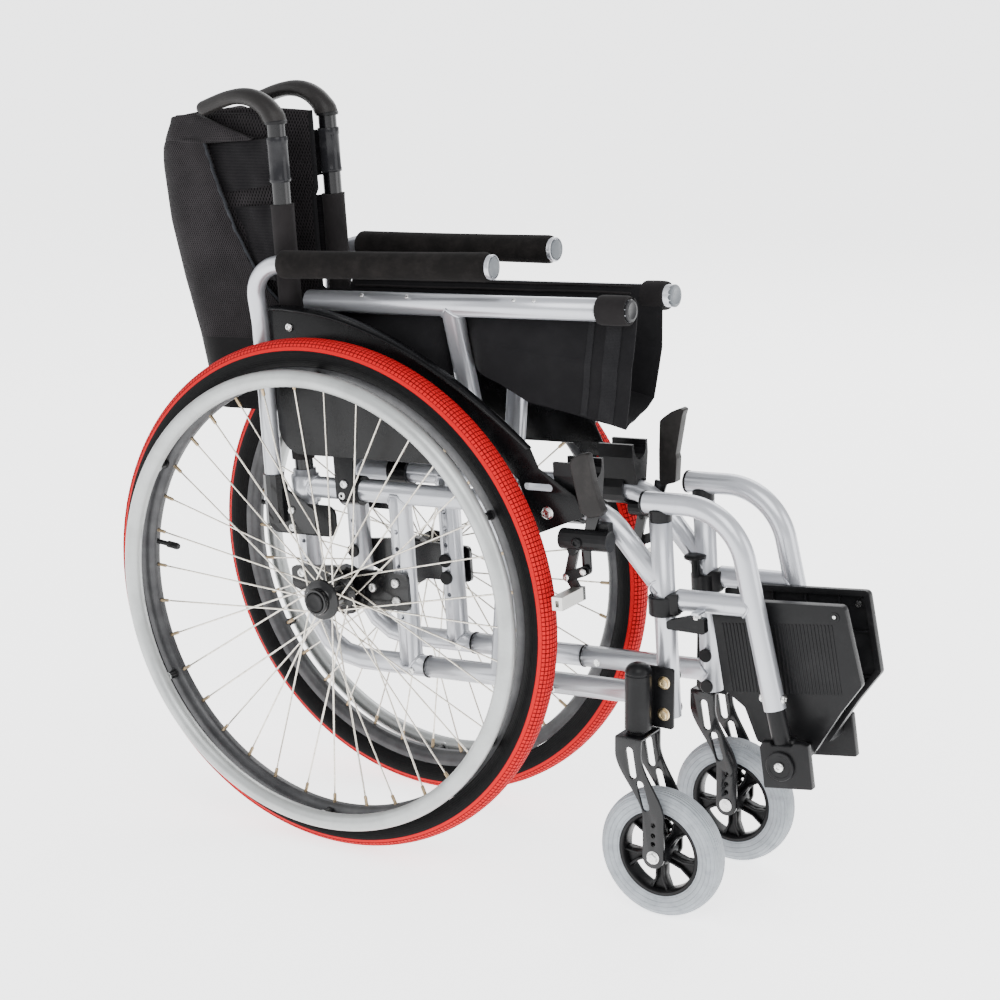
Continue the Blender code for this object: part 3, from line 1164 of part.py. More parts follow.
def handrim():
    """Handrim ring with its stand-offs towards the rim."""
    loop = [(HANDRIM_R + HANDRIM_TUBE_R * math.cos(a), -HANDRIM_OFFSET + HANDRIM_TUBE_R * math.sin(a))
            for a in [2 * math.pi * (k + 0.5) / HOLE_SIDES for k in range(HOLE_SIDES)]]
    grip = wheel_ring(loop)
    tabs = bmesh.new()
    for k in range(HANDRIM_TABS):
        x, z = polar(HANDRIM_R, 2 * math.pi * (k + 0.5) / HANDRIM_TABS, (0.0, TYRE_R))
        tab = tube([(x, WHEEL_Y - HANDRIM_OFFSET, z), (x, WHEEL_Y - RIM_HALF_WIDTH - GAP, z)],
                   HANDRIM_TAB_R, HOLE_SIDES)
        gather(tabs, tab)
    return union(grip, tabs)


def caster_point(x, z):
    """Point in the middle plane of the right caster."""
    return (x, CASTER_Y, z)


def caster_housing():
    """Caster stem housing with a domed cap and the bracket to the front tube."""
    top = HOUSING_TOP_Z
    profile = [(HOUSING_BOTTOM_Z, HOUSING_R), (top, HOUSING_R)]
    dome = arc(1.0, math.pi / 8, 3 * math.pi / 8, 2)
    profile += [(top + HOUSING_DOME * z, HOUSING_R * x) for x, z in dome]
    shell = turned(profile, caster_point(CASTER_STEM_X, 0.0), (0, 0, 1), TUBE_SIDES)
    inner = -FRAME_Y - TUBE_R - GAP
    plate = block((CASTER_STEM_X, inner - BRACKET_THICKNESS, HOUSING_BOTTOM_Z + GAP),
                  (HOUSING_PLATE_X, inner, top + GAP))
    web = block((CASTER_STEM_X - HOUSING_R / 2, CASTER_Y, HOUSING_BOTTOM_Z + GAP),
                (CASTER_STEM_X + HOUSING_R / 2, inner, top))
    bore = tube([caster_point(CASTER_STEM_X, HOUSING_BOTTOM_Z - GAP),
                 caster_point(CASTER_STEM_X, STEM_TOP_Z + RUNNING_GAP)], running_bore(STEM_R))
    return cut(union(shell, plate, web), bore)


def fork_outline():
    """Side outline of a fork blade: straight below the crown, then swept to the wheel axle."""
    left, right = [], []
    stem_x, foot_x = CASTER_STEM_X, CASTER_WHEEL_X
    drop = (FORK_CURVE_TOP_Z - FORK_CURVE_BOTTOM_Z) / FORK_CURVE_STEPS
    heights = [CROWN_TOP_Z] + [FORK_CURVE_TOP_Z - drop * k for k in range(FORK_CURVE_STEPS + 1)]
    for z in [*heights, CASTER_AXLE_Z]:
        share = min(max((FORK_CURVE_TOP_Z - z) / (FORK_CURVE_TOP_Z - FORK_CURVE_BOTTOM_Z), 0.0), 1.0)
        blend = share * share * (3 - 2 * share)
        middle = stem_x + (foot_x - stem_x) * blend
        half = FORK_TOP_HALF_WIDTH + (FORK_FOOT_HALF_WIDTH - FORK_TOP_HALF_WIDTH) * blend
        left.append((middle - half, z))
        right.append((middle + half, z))
    foot = arc(FORK_FOOT_HALF_WIDTH, math.pi, 2 * math.pi, 6, (foot_x, CASTER_AXLE_Z))[1:-1]
    return [*left, *foot, *reversed(right)]


def caster_fork():
    """Caster fork: crown, two slotted blades, stem and wheel axle."""
    outline = fork_outline()
    blades = [slab(outline, CASTER_Y + side * FORK_HALF_GAP, CASTER_Y + side * (FORK_HALF_GAP + FORK_BLADE))
              for side in (-1, 1)]
    half = FORK_HALF_GAP + FORK_BLADE
    crown = block((CASTER_STEM_X - FORK_TOP_HALF_WIDTH, CASTER_Y - half, CROWN_TOP_Z - CROWN_THICKNESS),
                  (CASTER_STEM_X + FORK_TOP_HALF_WIDTH, CASTER_Y + half, CROWN_TOP_Z))
    stem = tube([caster_point(CASTER_STEM_X, CROWN_TOP_Z - CROWN_THICKNESS / 2),
                 caster_point(CASTER_STEM_X, STEM_TOP_Z)], STEM_R)
    axle = tube([(CASTER_WHEEL_X, CASTER_Y - half, CASTER_AXLE_Z),
                 (CASTER_WHEEL_X, CASTER_Y + half, CASTER_AXLE_Z)], CASTER_AXLE_R)
    reach = CASTER_Y - 2 * half, CASTER_Y + 2 * half
    slots = [slab(slot_outline(*ends, FORK_SLOT_R), *reach) for ends in FORK_SLOTS]
    holes = [turned([(y, FORK_HOLE_R) for y in reach], (CASTER_WHEEL_X, 0.0, z), (0, 1, 0), HOLE_SIDES)
             for z in FORK_HOLES_Z]
    return cut(union(*blades, crown, stem, axle), *slots, *holes)


def caster_ring(sides):
    """Ring about the caster axle, the same on both sides of its middle plane."""
    profile = [*sides, *[(radius, -y) for radius, y in reversed(sides)]]
    return ring([(radius, CASTER_Y + y) for radius, y in profile], (CASTER_WHEEL_X, CASTER_AXLE_Z),
                CASTER_STEPS)


def caster_tyre():
    """Solid caster tyre."""
    half = CASTER_HALF_WIDTH
    seat = CASTER_RIM_R + GAP
    sides = [(CASTER_R, CASTER_TREAD_SHARE * half), (CASTER_R - CASTER_SHOULDER, half),
             (seat, CASTER_SEAT_SHARE * half)]
    return caster_ring(sides)


def caster_hub():
    """Moulded caster hub with a web that opens between its spokes."""
    rim, lug = CASTER_SEAT_SHARE * CASTER_HALF_WIDTH, FORK_HALF_GAP - RUNNING_GAP
    well = CASTER_RIM_R - CASTER_RIM_DEPTH
    sides = [(CASTER_RIM_R, rim), (well, rim), (well, CASTER_WEB), (CASTER_HUB_R, CASTER_WEB),
             (CASTER_HUB_R, lug), (CASTER_AXLE_R + RUNNING_GAP, lug)]
    body = caster_ring(sides)
    centre = (CASTER_WHEEL_X, CASTER_AXLE_Z)
    windows = []
    for k in range(CASTER_SPOKES):
        middle = 2 * math.pi * (k + 0.25) / CASTER_SPOKES
        outer = arc(well - CASTER_WEB / 2, middle - CASTER_WINDOW, middle + CASTER_WINDOW, 3, centre)
        half = CASTER_WINDOW / 2
        inner = arc(CASTER_HUB_R + CASTER_WEB, middle + half, middle - half, 2, centre)
        windows.append(slab([*outer, *inner], CASTER_Y - rim, CASTER_Y + rim))
    return cut(body, *windows)


# The whole chair

def add_side(workshop, side, mirrored):
    """Every piece of one side of the chair."""
    def add(name, shape, finish, pivot=(0.0, 0.0, 0.0), space="chassis"):
        workshop.add(f"{side}_{name}", shape, finish, pivot, space, mirrored)

    hub = (0.0, WHEEL_Y, TYRE_R)
    front_tube = rail_point(FRONT_TUBE_X, 0.0)
    caster_axle = caster_point(CASTER_WHEEL_X, CASTER_AXLE_Z)
    add("side_frame", side_frame(), "silver paint")
    add("back_post", back_post(), "black paint")
    add("push_grip", push_grip(), "grip rubber")
    add("saddle", saddle(SADDLE_FRONT_X), "black plastic")
    add("side_guard", side_guard(), "black plastic")
    add("axle_plate", axle_plate(), "black paint")
    add("axle_button", axle_button(), "black plastic")
    add("arm_bracket", arm_bracket(), "black paint")
    add("armrest_tube", armrest_tube(), "silver paint", (ARM_POST_X, ARM_POST_Y, ARM_FOOT_Z))
    add("armrest_pad", armrest_pad(), "arm foam", (ARM_POST_X, ARM_POST_Y, ARM_FOOT_Z))
    add("seat_flap", seat_flap(), "seat nylon", rail_point(0.0, SEAT_RAIL_Z))
    add("back_panel", back_panel(), "back mesh", rail_point(REAR_POST_X, 0.0))
    add("hanger_tube", hanger_tube(), "silver paint", front_tube)
    add("hanger_latch", hanger_latch(), "black plastic", (LATCH_PIVOT_X, LATCH_PIVOT_Y, 0.0))
    add("footrest_extension", footrest_extension(), "black plastic", front_tube)
    add("footplate", footplate(), "black plastic", foot_pivot())
    add("brake_body", brake_body(), "black plastic")
    add("brake_lever", brake_lever(), "black plastic", (BRAKE_PIVOT[0], BRAKE_ARM_Y, BRAKE_PIVOT[1]))
    add("brake_shoe", brake_shoe(), "black paint", (SHOE_PIVOT[0], BRAKE_ARM_Y, SHOE_PIVOT[1]))
    add("brake_link", brake_link(), "zinc steel", (SHOE_RIVET[0], BRAKE_LINK_Y, SHOE_RIVET[1]))
    add("wheel_tyre", wheel_tyre(), "tread rubber", hub, "ground")
    add("wheel_rim", wheel_rim(), "rim metal", hub, "ground")
    add("wheel_spokes", wheel_spokes(), "spoke steel", hub, "ground")
    add("handrim", handrim(), "handrim metal", hub, "ground")
    add("caster_housing", caster_housing(), "black paint", space="ground")
    add("caster_fork", caster_fork(), "black paint", caster_point(CASTER_STEM_X, CROWN_TOP_Z), "ground")
    add("caster_tyre", caster_tyre(), "caster rubber", caster_axle, "ground")
    add("caster_hub", caster_hub(), "black plastic", caster_axle, "ground")


def main():
    """Build the chair in an empty scene."""
    clear_scene()
    workshop = Workshop()
    add_side(workshop, "right", False)
    add_side(workshop, "left", True)
    workshop.add("brace_a", brace(LEG_FRONT_X), "silver paint", (0.0, FRAME_Y, LOWER_Z), mirrored=True)
    workshop.add("brace_b", brace(LEG_REAR_X), "silver paint", (0.0, 0.0, BRACE_BOLT_Z))
    workshop.add("cross_pivot_bolt", cross_pivot_bolt(), "zinc steel", (0.0, 0.0, BRACE_BOLT_Z))
    workshop.add("seat_centre", seat_centre(), "seat nylon", rail_point(0.0, SEAT_RAIL_Z - SLING_DROP))
    workshop.centre_on_origin()


main()
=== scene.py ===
import json
import math

import bpy
from mathutils import Matrix, Vector, noise


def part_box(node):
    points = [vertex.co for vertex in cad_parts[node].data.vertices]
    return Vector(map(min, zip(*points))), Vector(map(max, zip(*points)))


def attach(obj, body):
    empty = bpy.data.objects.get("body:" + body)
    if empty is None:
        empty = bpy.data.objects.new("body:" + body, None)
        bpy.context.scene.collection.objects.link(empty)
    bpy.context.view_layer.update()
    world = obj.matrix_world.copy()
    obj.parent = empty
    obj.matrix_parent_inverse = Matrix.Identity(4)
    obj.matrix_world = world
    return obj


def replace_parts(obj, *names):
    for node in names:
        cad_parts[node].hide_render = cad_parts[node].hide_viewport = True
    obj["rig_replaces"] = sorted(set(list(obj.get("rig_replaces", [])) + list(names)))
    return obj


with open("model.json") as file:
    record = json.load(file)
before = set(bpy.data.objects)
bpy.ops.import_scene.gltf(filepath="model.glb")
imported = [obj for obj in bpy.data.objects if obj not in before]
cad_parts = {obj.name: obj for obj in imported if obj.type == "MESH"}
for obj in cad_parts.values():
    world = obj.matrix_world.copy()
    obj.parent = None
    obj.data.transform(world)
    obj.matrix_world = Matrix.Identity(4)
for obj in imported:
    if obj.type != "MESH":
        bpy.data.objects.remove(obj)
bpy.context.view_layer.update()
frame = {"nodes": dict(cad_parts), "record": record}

nodes = frame["nodes"]
tyre_low, tyre_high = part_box("right_wheel_tyre")
AXLE_X = (tyre_low.x + tyre_high.x) / 2
AXLE_Z = (tyre_low.z + tyre_high.z) / 2
PITCH = math.radians(3.7)
# Pieces are drawn in one of these spaces, as in the part's source: chassis has its origin on the rear
# axle line with z square to the frame rails, ground has it on the floor below, and foot is the
# footrest block's own.
CHASSIS = Matrix.Translation((AXLE_X, 0.0, AXLE_Z)) @ Matrix.Rotation(-PITCH, 4, "Y")
GROUND = Matrix.Translation((AXLE_X, 0.0, 0.0))
FOOT = (CHASSIS @ Matrix.Translation((0.559, 0.0, -0.15)) @ Matrix.Rotation(math.radians(-4.5), 4, "Y"))

FRAME_Y = 0.0505
TUBE_R = 0.0127
WHEEL_Y = -0.1047
HUB = Vector((0.0, WHEEL_Y, 0.305))
CASTER_Y = -0.0885
STEM_X = 0.4013
CASTER_AXLE = Vector((0.4335, CASTER_Y, 0.074))
FORK_HALF = 0.0235
HANDRIM_R = 0.2652
UPPER_Z = 0.1155
LOWER_Z = -0.0913
FRONT_X = 0.415
LATCH = (0.4647, -0.07)
POST_X = -0.0625
RAIL_Z = 0.3385
ARM_FOOT = Vector((-0.091, -0.0735, 0.1345))
ARM_START = Vector((-0.091, -0.0822, 0.385))
ARM_END = Vector((0.233, -0.067, 0.385))
ARM_AHEAD = (ARM_END - ARM_START).normalized()
HANGER_BEND = Vector((0.505, -FRAME_Y, 0.1285))
HANGER_FOOT = Vector((0.544, -FRAME_Y, -0.091))
HANGER_CROSS_Z = 0.0215

UP, AHEAD, LEFT, RIGHT = (0, 0, 1), (1, 0, 0), (0, 1, 0), (0, -1, 0)
HERE = Matrix.Identity(4)
STEM = (STEM_X, CASTER_Y, 0.0)
FRONT = (FRONT_X, -FRAME_Y, 0.0)
POST = (POST_X, -FRAME_Y, 0.0)
RAIL = (0.0, -FRAME_Y, RAIL_Z)


# Materials: sums on sockets, and one method that makes every node

class Signal:
    """Output of a node, used in sums as a number is."""

    def __init__(self, finish, socket):
        self.finish = finish
        self.socket = socket

    def sum(self, operation, *others):
        return self.finish.node("ShaderNodeMath", {"operation": operation}, (self, *others))

    def __add__(self, other):
        return self.sum("ADD", other)

    def __sub__(self, other):
        return self.sum("SUBTRACT", other)

    def __mul__(self, other):
        return self.sum("MULTIPLY", other)

    def __rsub__(self, other):
        return self.finish.node("ShaderNodeMath", {"operation": "SUBTRACT"}, (other, self))

    __radd__ = __add__
    __rmul__ = __mul__

    def sine(self):
        return self.sum("SINE")

    def size(self):
        return self.sum("ABSOLUTE")

    def least(self, other):
        return self.sum("MINIMUM", other)

    def most(self, other):
        return self.sum("MAXIMUM", other)

    def share(self, low, high):
        """0 below low, 1 above high and smooth between them."""
        return self.finish.node("ShaderNodeMapRange", {"interpolation_type": "SMOOTHSTEP"},
                                {"Value": self, "From Min": low, "From Max": high})


class Finish:
    """Principled material whose nodes are all made by one method."""

    def __init__(self, name, roughness=0.5, metallic=0.0, **constants):
        self.material = bpy.data.materials.new(name)
        self.material.use_nodes = True
        self.tree = self.material.node_tree
        self.shader = self.tree.nodes["Principled BSDF"]
        self.put(Roughness=roughness, Metallic=metallic)
        for key, value in constants.items():
            self.shader.inputs[key.replace("_", " ")].default_value = value

    def plug(self, value, socket):
        if isinstance(value, Signal):
            self.tree.links.new(value.socket, socket)
        else:
            socket.default_value = value

    def node(self, kind, settings, sockets, output=0):
        """Make a node: its settings first, then the values or links of its sockets."""
        made = self.tree.nodes.new(kind)
        for key, value in settings.items():
            setattr(made, key, value)
        for key, value in sockets.items() if isinstance(sockets, dict) else enumerate(sockets):
            self.plug(value, made.inputs[key])
        return Signal(self, made.outputs[output])

    def put(self, **sockets):
        for key, value in sockets.items():
            self.plug(value, self.shader.inputs[key.replace("_", " ")])

    def vector(self, operation, *values, output=0):
        return self.node("ShaderNodeVectorMath", {"operation": operation}, values, output)

    def place(self, origin=(0.0, 0.0, 0.0), scale=(1.0, 1.0, 1.0)):
        """Object coordinates, measured from an origin."""
        spot = self.node("ShaderNodeTexCoord", {}, {}, 3)
        return self.vector("MULTIPLY", self.vector("SUBTRACT", spot, origin), scale)

    def cloth(self):
        """The piece's own map, in metres along the cloth."""
        return self.node("ShaderNodeTexCoord", {}, {}, 2)

    def parts(self, vector):
        split = self.node("ShaderNodeSeparateXYZ", {}, (vector,))
        return [Signal(self, split.socket.node.outputs[k]) for k in range(3)]

    def joined(self, x, y, z=0.0):
        return self.node("ShaderNodeCombineXYZ", {}, (x, y, z))

    def noise(self, scale, detail=2.0, where=None, roughness=0.5):
        sockets = {"Scale": scale, "Detail": detail, "Roughness": roughness, "Vector": where or self.place()}
        return self.node("ShaderNodeTexNoise", {}, sockets)

    def cells(self, scale):
        return self.node("ShaderNodeTexVoronoi", {}, {"Vector": self.place(), "Scale": scale})

    def mix(self, share, first, second):
        sockets = {0: share, 6: colour(first), 7: colour(second)}
        return self.node("ShaderNodeMix", {"data_type": "RGBA"}, sockets, 2)

    def bump(self, height, distance, strength=1.0):
        made = self.node("ShaderNodeBump", {},
                         {"Height": height, "Distance": distance, "Strength": strength})
        self.put(Normal=made)

    def polar(self, centre):
        """Distance from a wheel's axle, the angle round it, and the offset along it."""
        x, y, z = self.parts(self.place(centre))
        radius = (x * x + z * z).sum("SQRT")
        return radius, self.node("ShaderNodeMath", {"operation": "ARCTAN2"}, (z, x)), y


def colour(value):
    return value if isinstance(value, Signal) else (*value, 1.0)


def lacquer(name, base, worn, roughness, metallic, coat):
    """Sprayed and baked paint: a faint orange skin, slow changes of tone and fine rubbed marks."""
    made = Finish(name, metallic=metallic, Coat_Weight=coat, Coat_Roughness=0.12, Specular_IOR_Level=0.3)
    rubbed = made.noise(90.0, 6.0, made.place(scale=(1.0, 1.0, 0.25)), 0.7).share(0.6, 0.78)
    tone = made.noise(14.0, 3.0)
    made.put(Base_Color=made.mix(tone * 0.35 + rubbed * 0.5, base, worn),
             Roughness=roughness + (tone - 0.5) * 0.1 + rubbed * 0.12)
    made.bump(made.noise(1100.0, 2.0) + made.noise(240.0, 2.0) * 0.6, 0.00002)
    return made.material


def moulded(name, base, light, roughness, grain=1500.0, depth=0.00005):
    """Moulded plastic or rubber with a fine spark-eroded grain and a little dust in it."""
    made = Finish(name, Specular_IOR_Level=0.16)
    cells = made.cells(grain)
    dust = made.noise(38.0, 5.0, roughness=0.65).share(0.45, 0.8)
    made.put(Base_Color=made.mix(dust * 0.8 + cells * 0.2, base, light),
             Roughness=roughness + dust * 0.14 - cells * 0.08)
    made.bump(cells + made.noise(grain / 3, 2.0), depth)
    return made.material


def bright_metal(name, base, dark, roughness):
    """Plated steel with fine rubbed marks and duller spots."""
    made = Finish(name, metallic=1.0)
    spots = made.noise(160.0, 5.0, roughness=0.7).share(0.4, 0.72)
    made.put(Base_Color=made.mix(spots, base, dark), Roughness=roughness + spots * 0.18)
    made.bump(made.noise(1400.0, 3.0), 0.00003)
    return made.material


def foam(name):
    """Closed-cell foam: matt skin with small pores and rubbed, greyer places."""
    made = Finish(name, Sheen_Weight=0.02, Sheen_Roughness=0.6, Specular_IOR_Level=0.06)
    pores = made.cells(900.0)
    cloud = made.noise(45.0, 6.0, roughness=0.7)
    made.put(Base_Color=made.mix(cloud.share(0.35, 0.75), (0.0045, 0.004, 0.0038), (0.012, 0.0105, 0.01)),
             Roughness=0.86 + cloud * 0.1)
    made.bump(pores.share(0.05, 0.35) + cloud * 1.5, 0.00014)
    return made.material


def woven(name, base, light, pitch=0.0011, depth=0.00012, ribs=0.0):
    """Plain woven nylon on the piece's own map, with a slubby tone; webbing adds ribs along it."""
    made = Finish(name, Sheen_Weight=0.03, Sheen_Roughness=0.45, Specular_IOR_Level=0.08)
    across, along, _ = made.parts(made.cloth())
    warp = (across * (math.pi / pitch)).sine()
    weft = (along * (math.pi / pitch)).sine()
    over = (warp * weft).share(-0.2, 0.2)
    height = warp.size() * over + weft.size() * (1 - over)
    if ribs:
        height = height + (along * (2 * math.pi / ribs)).sine() * 0.4
    cloud = made.noise(30.0, 5.0, roughness=0.6)
    made.put(Base_Color=made.mix(height.share(0.2, 1.2) * 0.6 + cloud.share(0.3, 0.8) * 0.5, base, light),
             Roughness=0.8 + cloud * 0.15)
    made.bump(height + made.noise(260.0, 3.0), depth)
    return made.material


def spacer_mesh(name, columns, rows):
    """Thick air mesh: oval holes in a staggered lattice, painted near-black as shade in the openings, plain
    woven below its hem line.
    """
    made = Finish(name, Sheen_Weight=0.04, Sheen_Roughness=0.4, Specular_IOR_Level=0.08)
    spot = made.cloth()
    gaps = []
    for shift in (0.0, 0.5):
        cell = made.vector("MULTIPLY", spot, (columns, rows, 0.0))
        cell = made.vector("FRACTION", made.vector("ADD", cell, (shift, shift, 0.0)))
        gaps.append(made.vector("LENGTH", made.vector("SUBTRACT", cell, (0.5, 0.5, 0.0)), output=1))
    strand = gaps[0].least(gaps[1]).share(0.17, 0.3)
    _, height, _ = made.parts(spot)
    hem = 1 - height.share(0.2895, 0.2915)
    strand = strand.most(hem)
    fibres = made.noise(1800.0, 3.0)
    tone = made.noise(22.0, 4.0)
    lit = made.mix(tone.share(0.3, 0.75), (0.014, 0.0123, 0.0133), (0.025, 0.0218, 0.0236))
    cloth = made.mix(hem, lit, (0.005, 0.0048, 0.0052))
    # The holes get a near-black colour: painted shade inside the openings of the mesh.
    made.put(Base_Color=made.mix(strand, (0.0008, 0.0008, 0.001), cloth), Roughness=0.92 - strand * 0.2)
    made.bump(strand * 2.0 + fibres * 0.5, 0.0004)
    return made.material


def tyre_rubber(name, centre, edge):
    """Tyre wall: red above the edge of the tread band, black with moulded rings below it."""
    made = Finish(name, Specular_IOR_Level=0.08)
    radius, _, _ = made.polar(centre)
    red = radius.share(edge - 0.0002, edge + 0.0002)
    rings = (radius * (2 * math.pi / 0.0024)).sine()
    scuff = made.noise(120.0, 6.0, roughness=0.7).share(0.45, 0.8)
    black = made.mix(scuff, (0.0025, 0.0025, 0.0028), (0.0075, 0.0075, 0.0075))
    band = made.mix(scuff, (0.48, 0.0022, 0.006), (0.4, 0.01, 0.012))
    made.put(Base_Color=made.mix(red, black, band), Roughness=0.52 + scuff * 0.2)
    made.bump(rings.share(0.55, 0.95) * (1 - red) + made.noise(700.0, 3.0) * 0.5, 0.00018)
    return made.material


def tread_rubber(name, base, light):
    """Red tread rubber, dustier where it meets the floor."""
    made = Finish(name, Specular_IOR_Level=0.12)
    scuff = made.noise(150.0, 6.0, roughness=0.7).share(0.4, 0.8)
    made.put(Base_Color=made.mix(scuff, base, light), Roughness=0.58 + scuff * 0.25)
    made.bump(made.noise(900.0, 3.0), 0.00008)
    return made.material


def caster_rubber(name, centre):
    """Grey caster rubber with fine rings round the tread and the wall."""
    made = Finish(name, Specular_IOR_Level=0.35)
    radius, _, along = made.polar(centre)
    tread = radius.share(0.066, 0.07)
    wall_rings = (radius * (2 * math.pi / 0.005)).sine().share(0.8, 1.0)
    rings = (along * (2 * math.pi / 0.003)).sine() * tread + wall_rings * (1 - tread)
    grime = made.noise(70.0, 6.0, roughness=0.7)
    made.put(Base_Color=made.mix(grime.share(0.35, 0.85), (0.3, 0.325, 0.35), (0.19, 0.205, 0.22)),
             Roughness=0.5 + grime * 0.2)
    made.bump(rings + made.noise(600.0, 3.0) * 0.3, 0.00055)
    return made.material


def turned_metal(name, centre, base, dark, roughness, metallic):
    """Metal ring with marks that run round the wheel."""
    made = Finish(name, metallic=metallic, Coat_Weight=0.15, Coat_Roughness=0.2)
    radius, angle, along = made.polar(centre)
    lines = made.noise(1.0, 4.0, made.joined(radius * 900.0, along * 900.0, angle * 6.0))
    cloud = made.noise(35.0, 5.0, roughness=0.6)
    made.put(Base_Color=made.mix(cloud.share(0.3, 0.8), base, dark), Roughness=roughness + lines * 0.12)
    made.bump(lines + cloud * 0.4, 0.00004)
    return made.material


def shoe_metal(name):
    """Black arms near the frame and a plated bar across the tyre."""
    made = Finish(name)
    _, along, _ = made.parts(made.place())
    bar = along.size().share(0.0796, 0.08)
    marks = made.noise(220.0, 5.0, roughness=0.7)
    made.put(Base_Color=made.mix(bar, (0.004, 0.004, 0.004), (0.62, 0.61, 0.58)), Metallic=bar,
             Roughness=0.24 + marks * 0.22)
    made.bump(made.noise(1200.0, 2.0), 0.00003)
    return made.material


RIGHT_HUB = (AXLE_X, WHEEL_Y, AXLE_Z)
RIGHT_CASTER = (AXLE_X + CASTER_AXLE.x, CASTER_Y, CASTER_AXLE.z)
SILVER = lacquer("silver lacquer", (0.47, 0.48, 0.51), (0.36, 0.37, 0.395), 0.3, 0.72, 0.3)
BLACK = lacquer("black lacquer", (0.0025, 0.0025, 0.003), (0.008, 0.008, 0.009), 0.2, 0.0, 0.1)
PLASTIC = moulded("black plastic", (0.0035, 0.0035, 0.004), (0.011, 0.011, 0.0115), 0.36)
GUARD = moulded("guard plastic", (0.003, 0.003, 0.0034), (0.008, 0.008, 0.0085), 0.27, 1100.0, 0.00004)
FOOT_PLASTIC = moulded("footplate plastic", (0.005, 0.005, 0.0055), (0.013, 0.013, 0.0135), 0.4, 1200.0)
GRIP = moulded("grip rubber", (0.011, 0.01, 0.0098), (0.026, 0.024, 0.023), 0.42, 900.0, 0.00007)
CAP_GREY = moulded("grey cap", (0.1, 0.11, 0.12), (0.17, 0.18, 0.19), 0.4)
CAP_BLACK = moulded("dark cap", (0.012, 0.012, 0.013), (0.03, 0.03, 0.032), 0.36)
SLEEVE = moulded("height sleeve", (0.01, 0.01, 0.0115), (0.03, 0.03, 0.032), 0.2, 1400.0, 0.00002)
ZINC = bright_metal("zinc steel", (0.72, 0.72, 0.71), (0.5, 0.5, 0.49), 0.22)
BRASS = bright_metal("yellow zinc", (0.66, 0.52, 0.3), (0.46, 0.37, 0.24), 0.26)
SPOKE = bright_metal("spoke steel", (0.7, 0.66, 0.58), (0.5, 0.46, 0.4), 0.24)
NIPPLE = bright_metal("nipple brass", (0.42, 0.32, 0.2), (0.24, 0.19, 0.13), 0.34)
FOAM = foam("arm foam")
NYLON = woven("seat nylon", (0.004, 0.004, 0.0046), (0.012, 0.0115, 0.0125))
TAPE = woven("hook tape", (0.006, 0.006, 0.0068), (0.018, 0.0178, 0.019), 0.0016, 0.0003)
WEBBING = woven("strap webbing", (0.0025, 0.0024, 0.003), (0.01, 0.009, 0.01), 0.0014, 0.00022, 0.0036)
LINING = woven("grey lining", (0.012, 0.013, 0.015), (0.055, 0.058, 0.066), 0.0014, 0.0002)
HEM = woven("post hem cloth", (0.009, 0.0082, 0.0085), (0.019, 0.017, 0.0176), 0.0008, 0.00006)
MESH = spacer_mesh("spacer mesh", 330.0, 205.0)
WIDE_MESH = spacer_mesh("wide mesh", 230.0, 130.0)
TYRE = tyre_rubber("tyre wall", RIGHT_HUB, 0.2935)
TREAD = tread_rubber("tread blocks", (0.5, 0.0022, 0.006), (0.42, 0.009, 0.011))
# Darker red on the walls round each tread block: painted shade in the grooves between the blocks.
SHADED_GROOVE = tread_rubber("tread groove shade", (0.16, 0.0008, 0.002), (0.11, 0.003, 0.0035))
RIM = turned_metal("rim metal", RIGHT_HUB, (0.026, 0.026, 0.028), (0.06, 0.06, 0.062), 0.36, 0.5)
HANDRIM = turned_metal("handrim metal", RIGHT_HUB, (0.4, 0.415, 0.41), (0.32, 0.33, 0.325), 0.32, 0.6)
CASTER = caster_rubber("caster rubber", RIGHT_CASTER)
SHOE = shoe_metal("shoe metal")


# Modelling steps

def pick(*pieces):
    """Select only these pieces, with the last one active."""
    bpy.ops.object.select_all(action="DESELECT")
    for piece in pieces:
        piece.select_set(True)
    bpy.context.view_layer.objects.active = pieces[-1]
    return pieces[-1]


def edit(piece):
    pick(piece)
    bpy.ops.object.mode_set(mode="EDIT")


def fresh():
    """Nothing picked, ready for a new primitive."""
    bpy.ops.object.select_all(action="DESELECT")


def merged():
    bpy.ops.mesh.select_all(action="SELECT")
    bpy.ops.mesh.remove_doubles(threshold=0.000001)


def closed_up():
    """Leave edit mode with doubles merged and every face turned outwards."""
    merged()
    bpy.ops.mesh.normals_make_consistent(inside=False)
    bpy.ops.object.mode_set(mode="OBJECT")
    return bpy.context.object


def push(step):
    """Extrude what is selected by a step."""
    bpy.ops.mesh.extrude_region_move(TRANSFORM_OT_translate={"value": step})


def drawn(points, filled=True):
    """Line drawn point by point from a single vertex, filled as one face; edit mode stays on."""
    fresh()
    bpy.ops.mesh.primitive_plane_add(size=0.001, location=points[0])
    bpy.ops.object.mode_set(mode="EDIT")
    bpy.ops.mesh.merge(type="CENTER")
    for before, after in zip(points, points[1:]):
        push(Vector(after) - Vector(before))
    bpy.ops.mesh.select_all(action="SELECT")
    if filled:
        bpy.ops.mesh.edge_face_add()


def plate(outline, low, high):
    """Flat piece: its outline in the chair's side view, pushed along the chair's width."""
    drawn([(x, low, z) for x, z in outline])
    push((0.0, high - low, 0.0))
    return closed_up()


def turned(profile, place, direction, sides=32):
    """Round piece: a disc extruded and scaled ring by ring; profile lists (distance, radius)."""
    axis = Vector(direction).normalized()
    distance, radius = profile[0]
    fresh()
    bpy.ops.mesh.primitive_circle_add(vertices=sides, radius=radius, fill_type="NGON",
                                      location=Vector(place) + axis * distance,
                                      rotation=axis.to_track_quat("Z", "Y").to_euler())
    bpy.ops.object.mode_set(mode="EDIT")
    for (before, old), (after, new) in zip(profile, profile[1:]):
        push(axis * (after - before))
        if new != old:
            bpy.ops.transform.resize(value=(new / old, new / old, new / old),
                                     center_override=Vector(place) + axis * after)
    return closed_up()


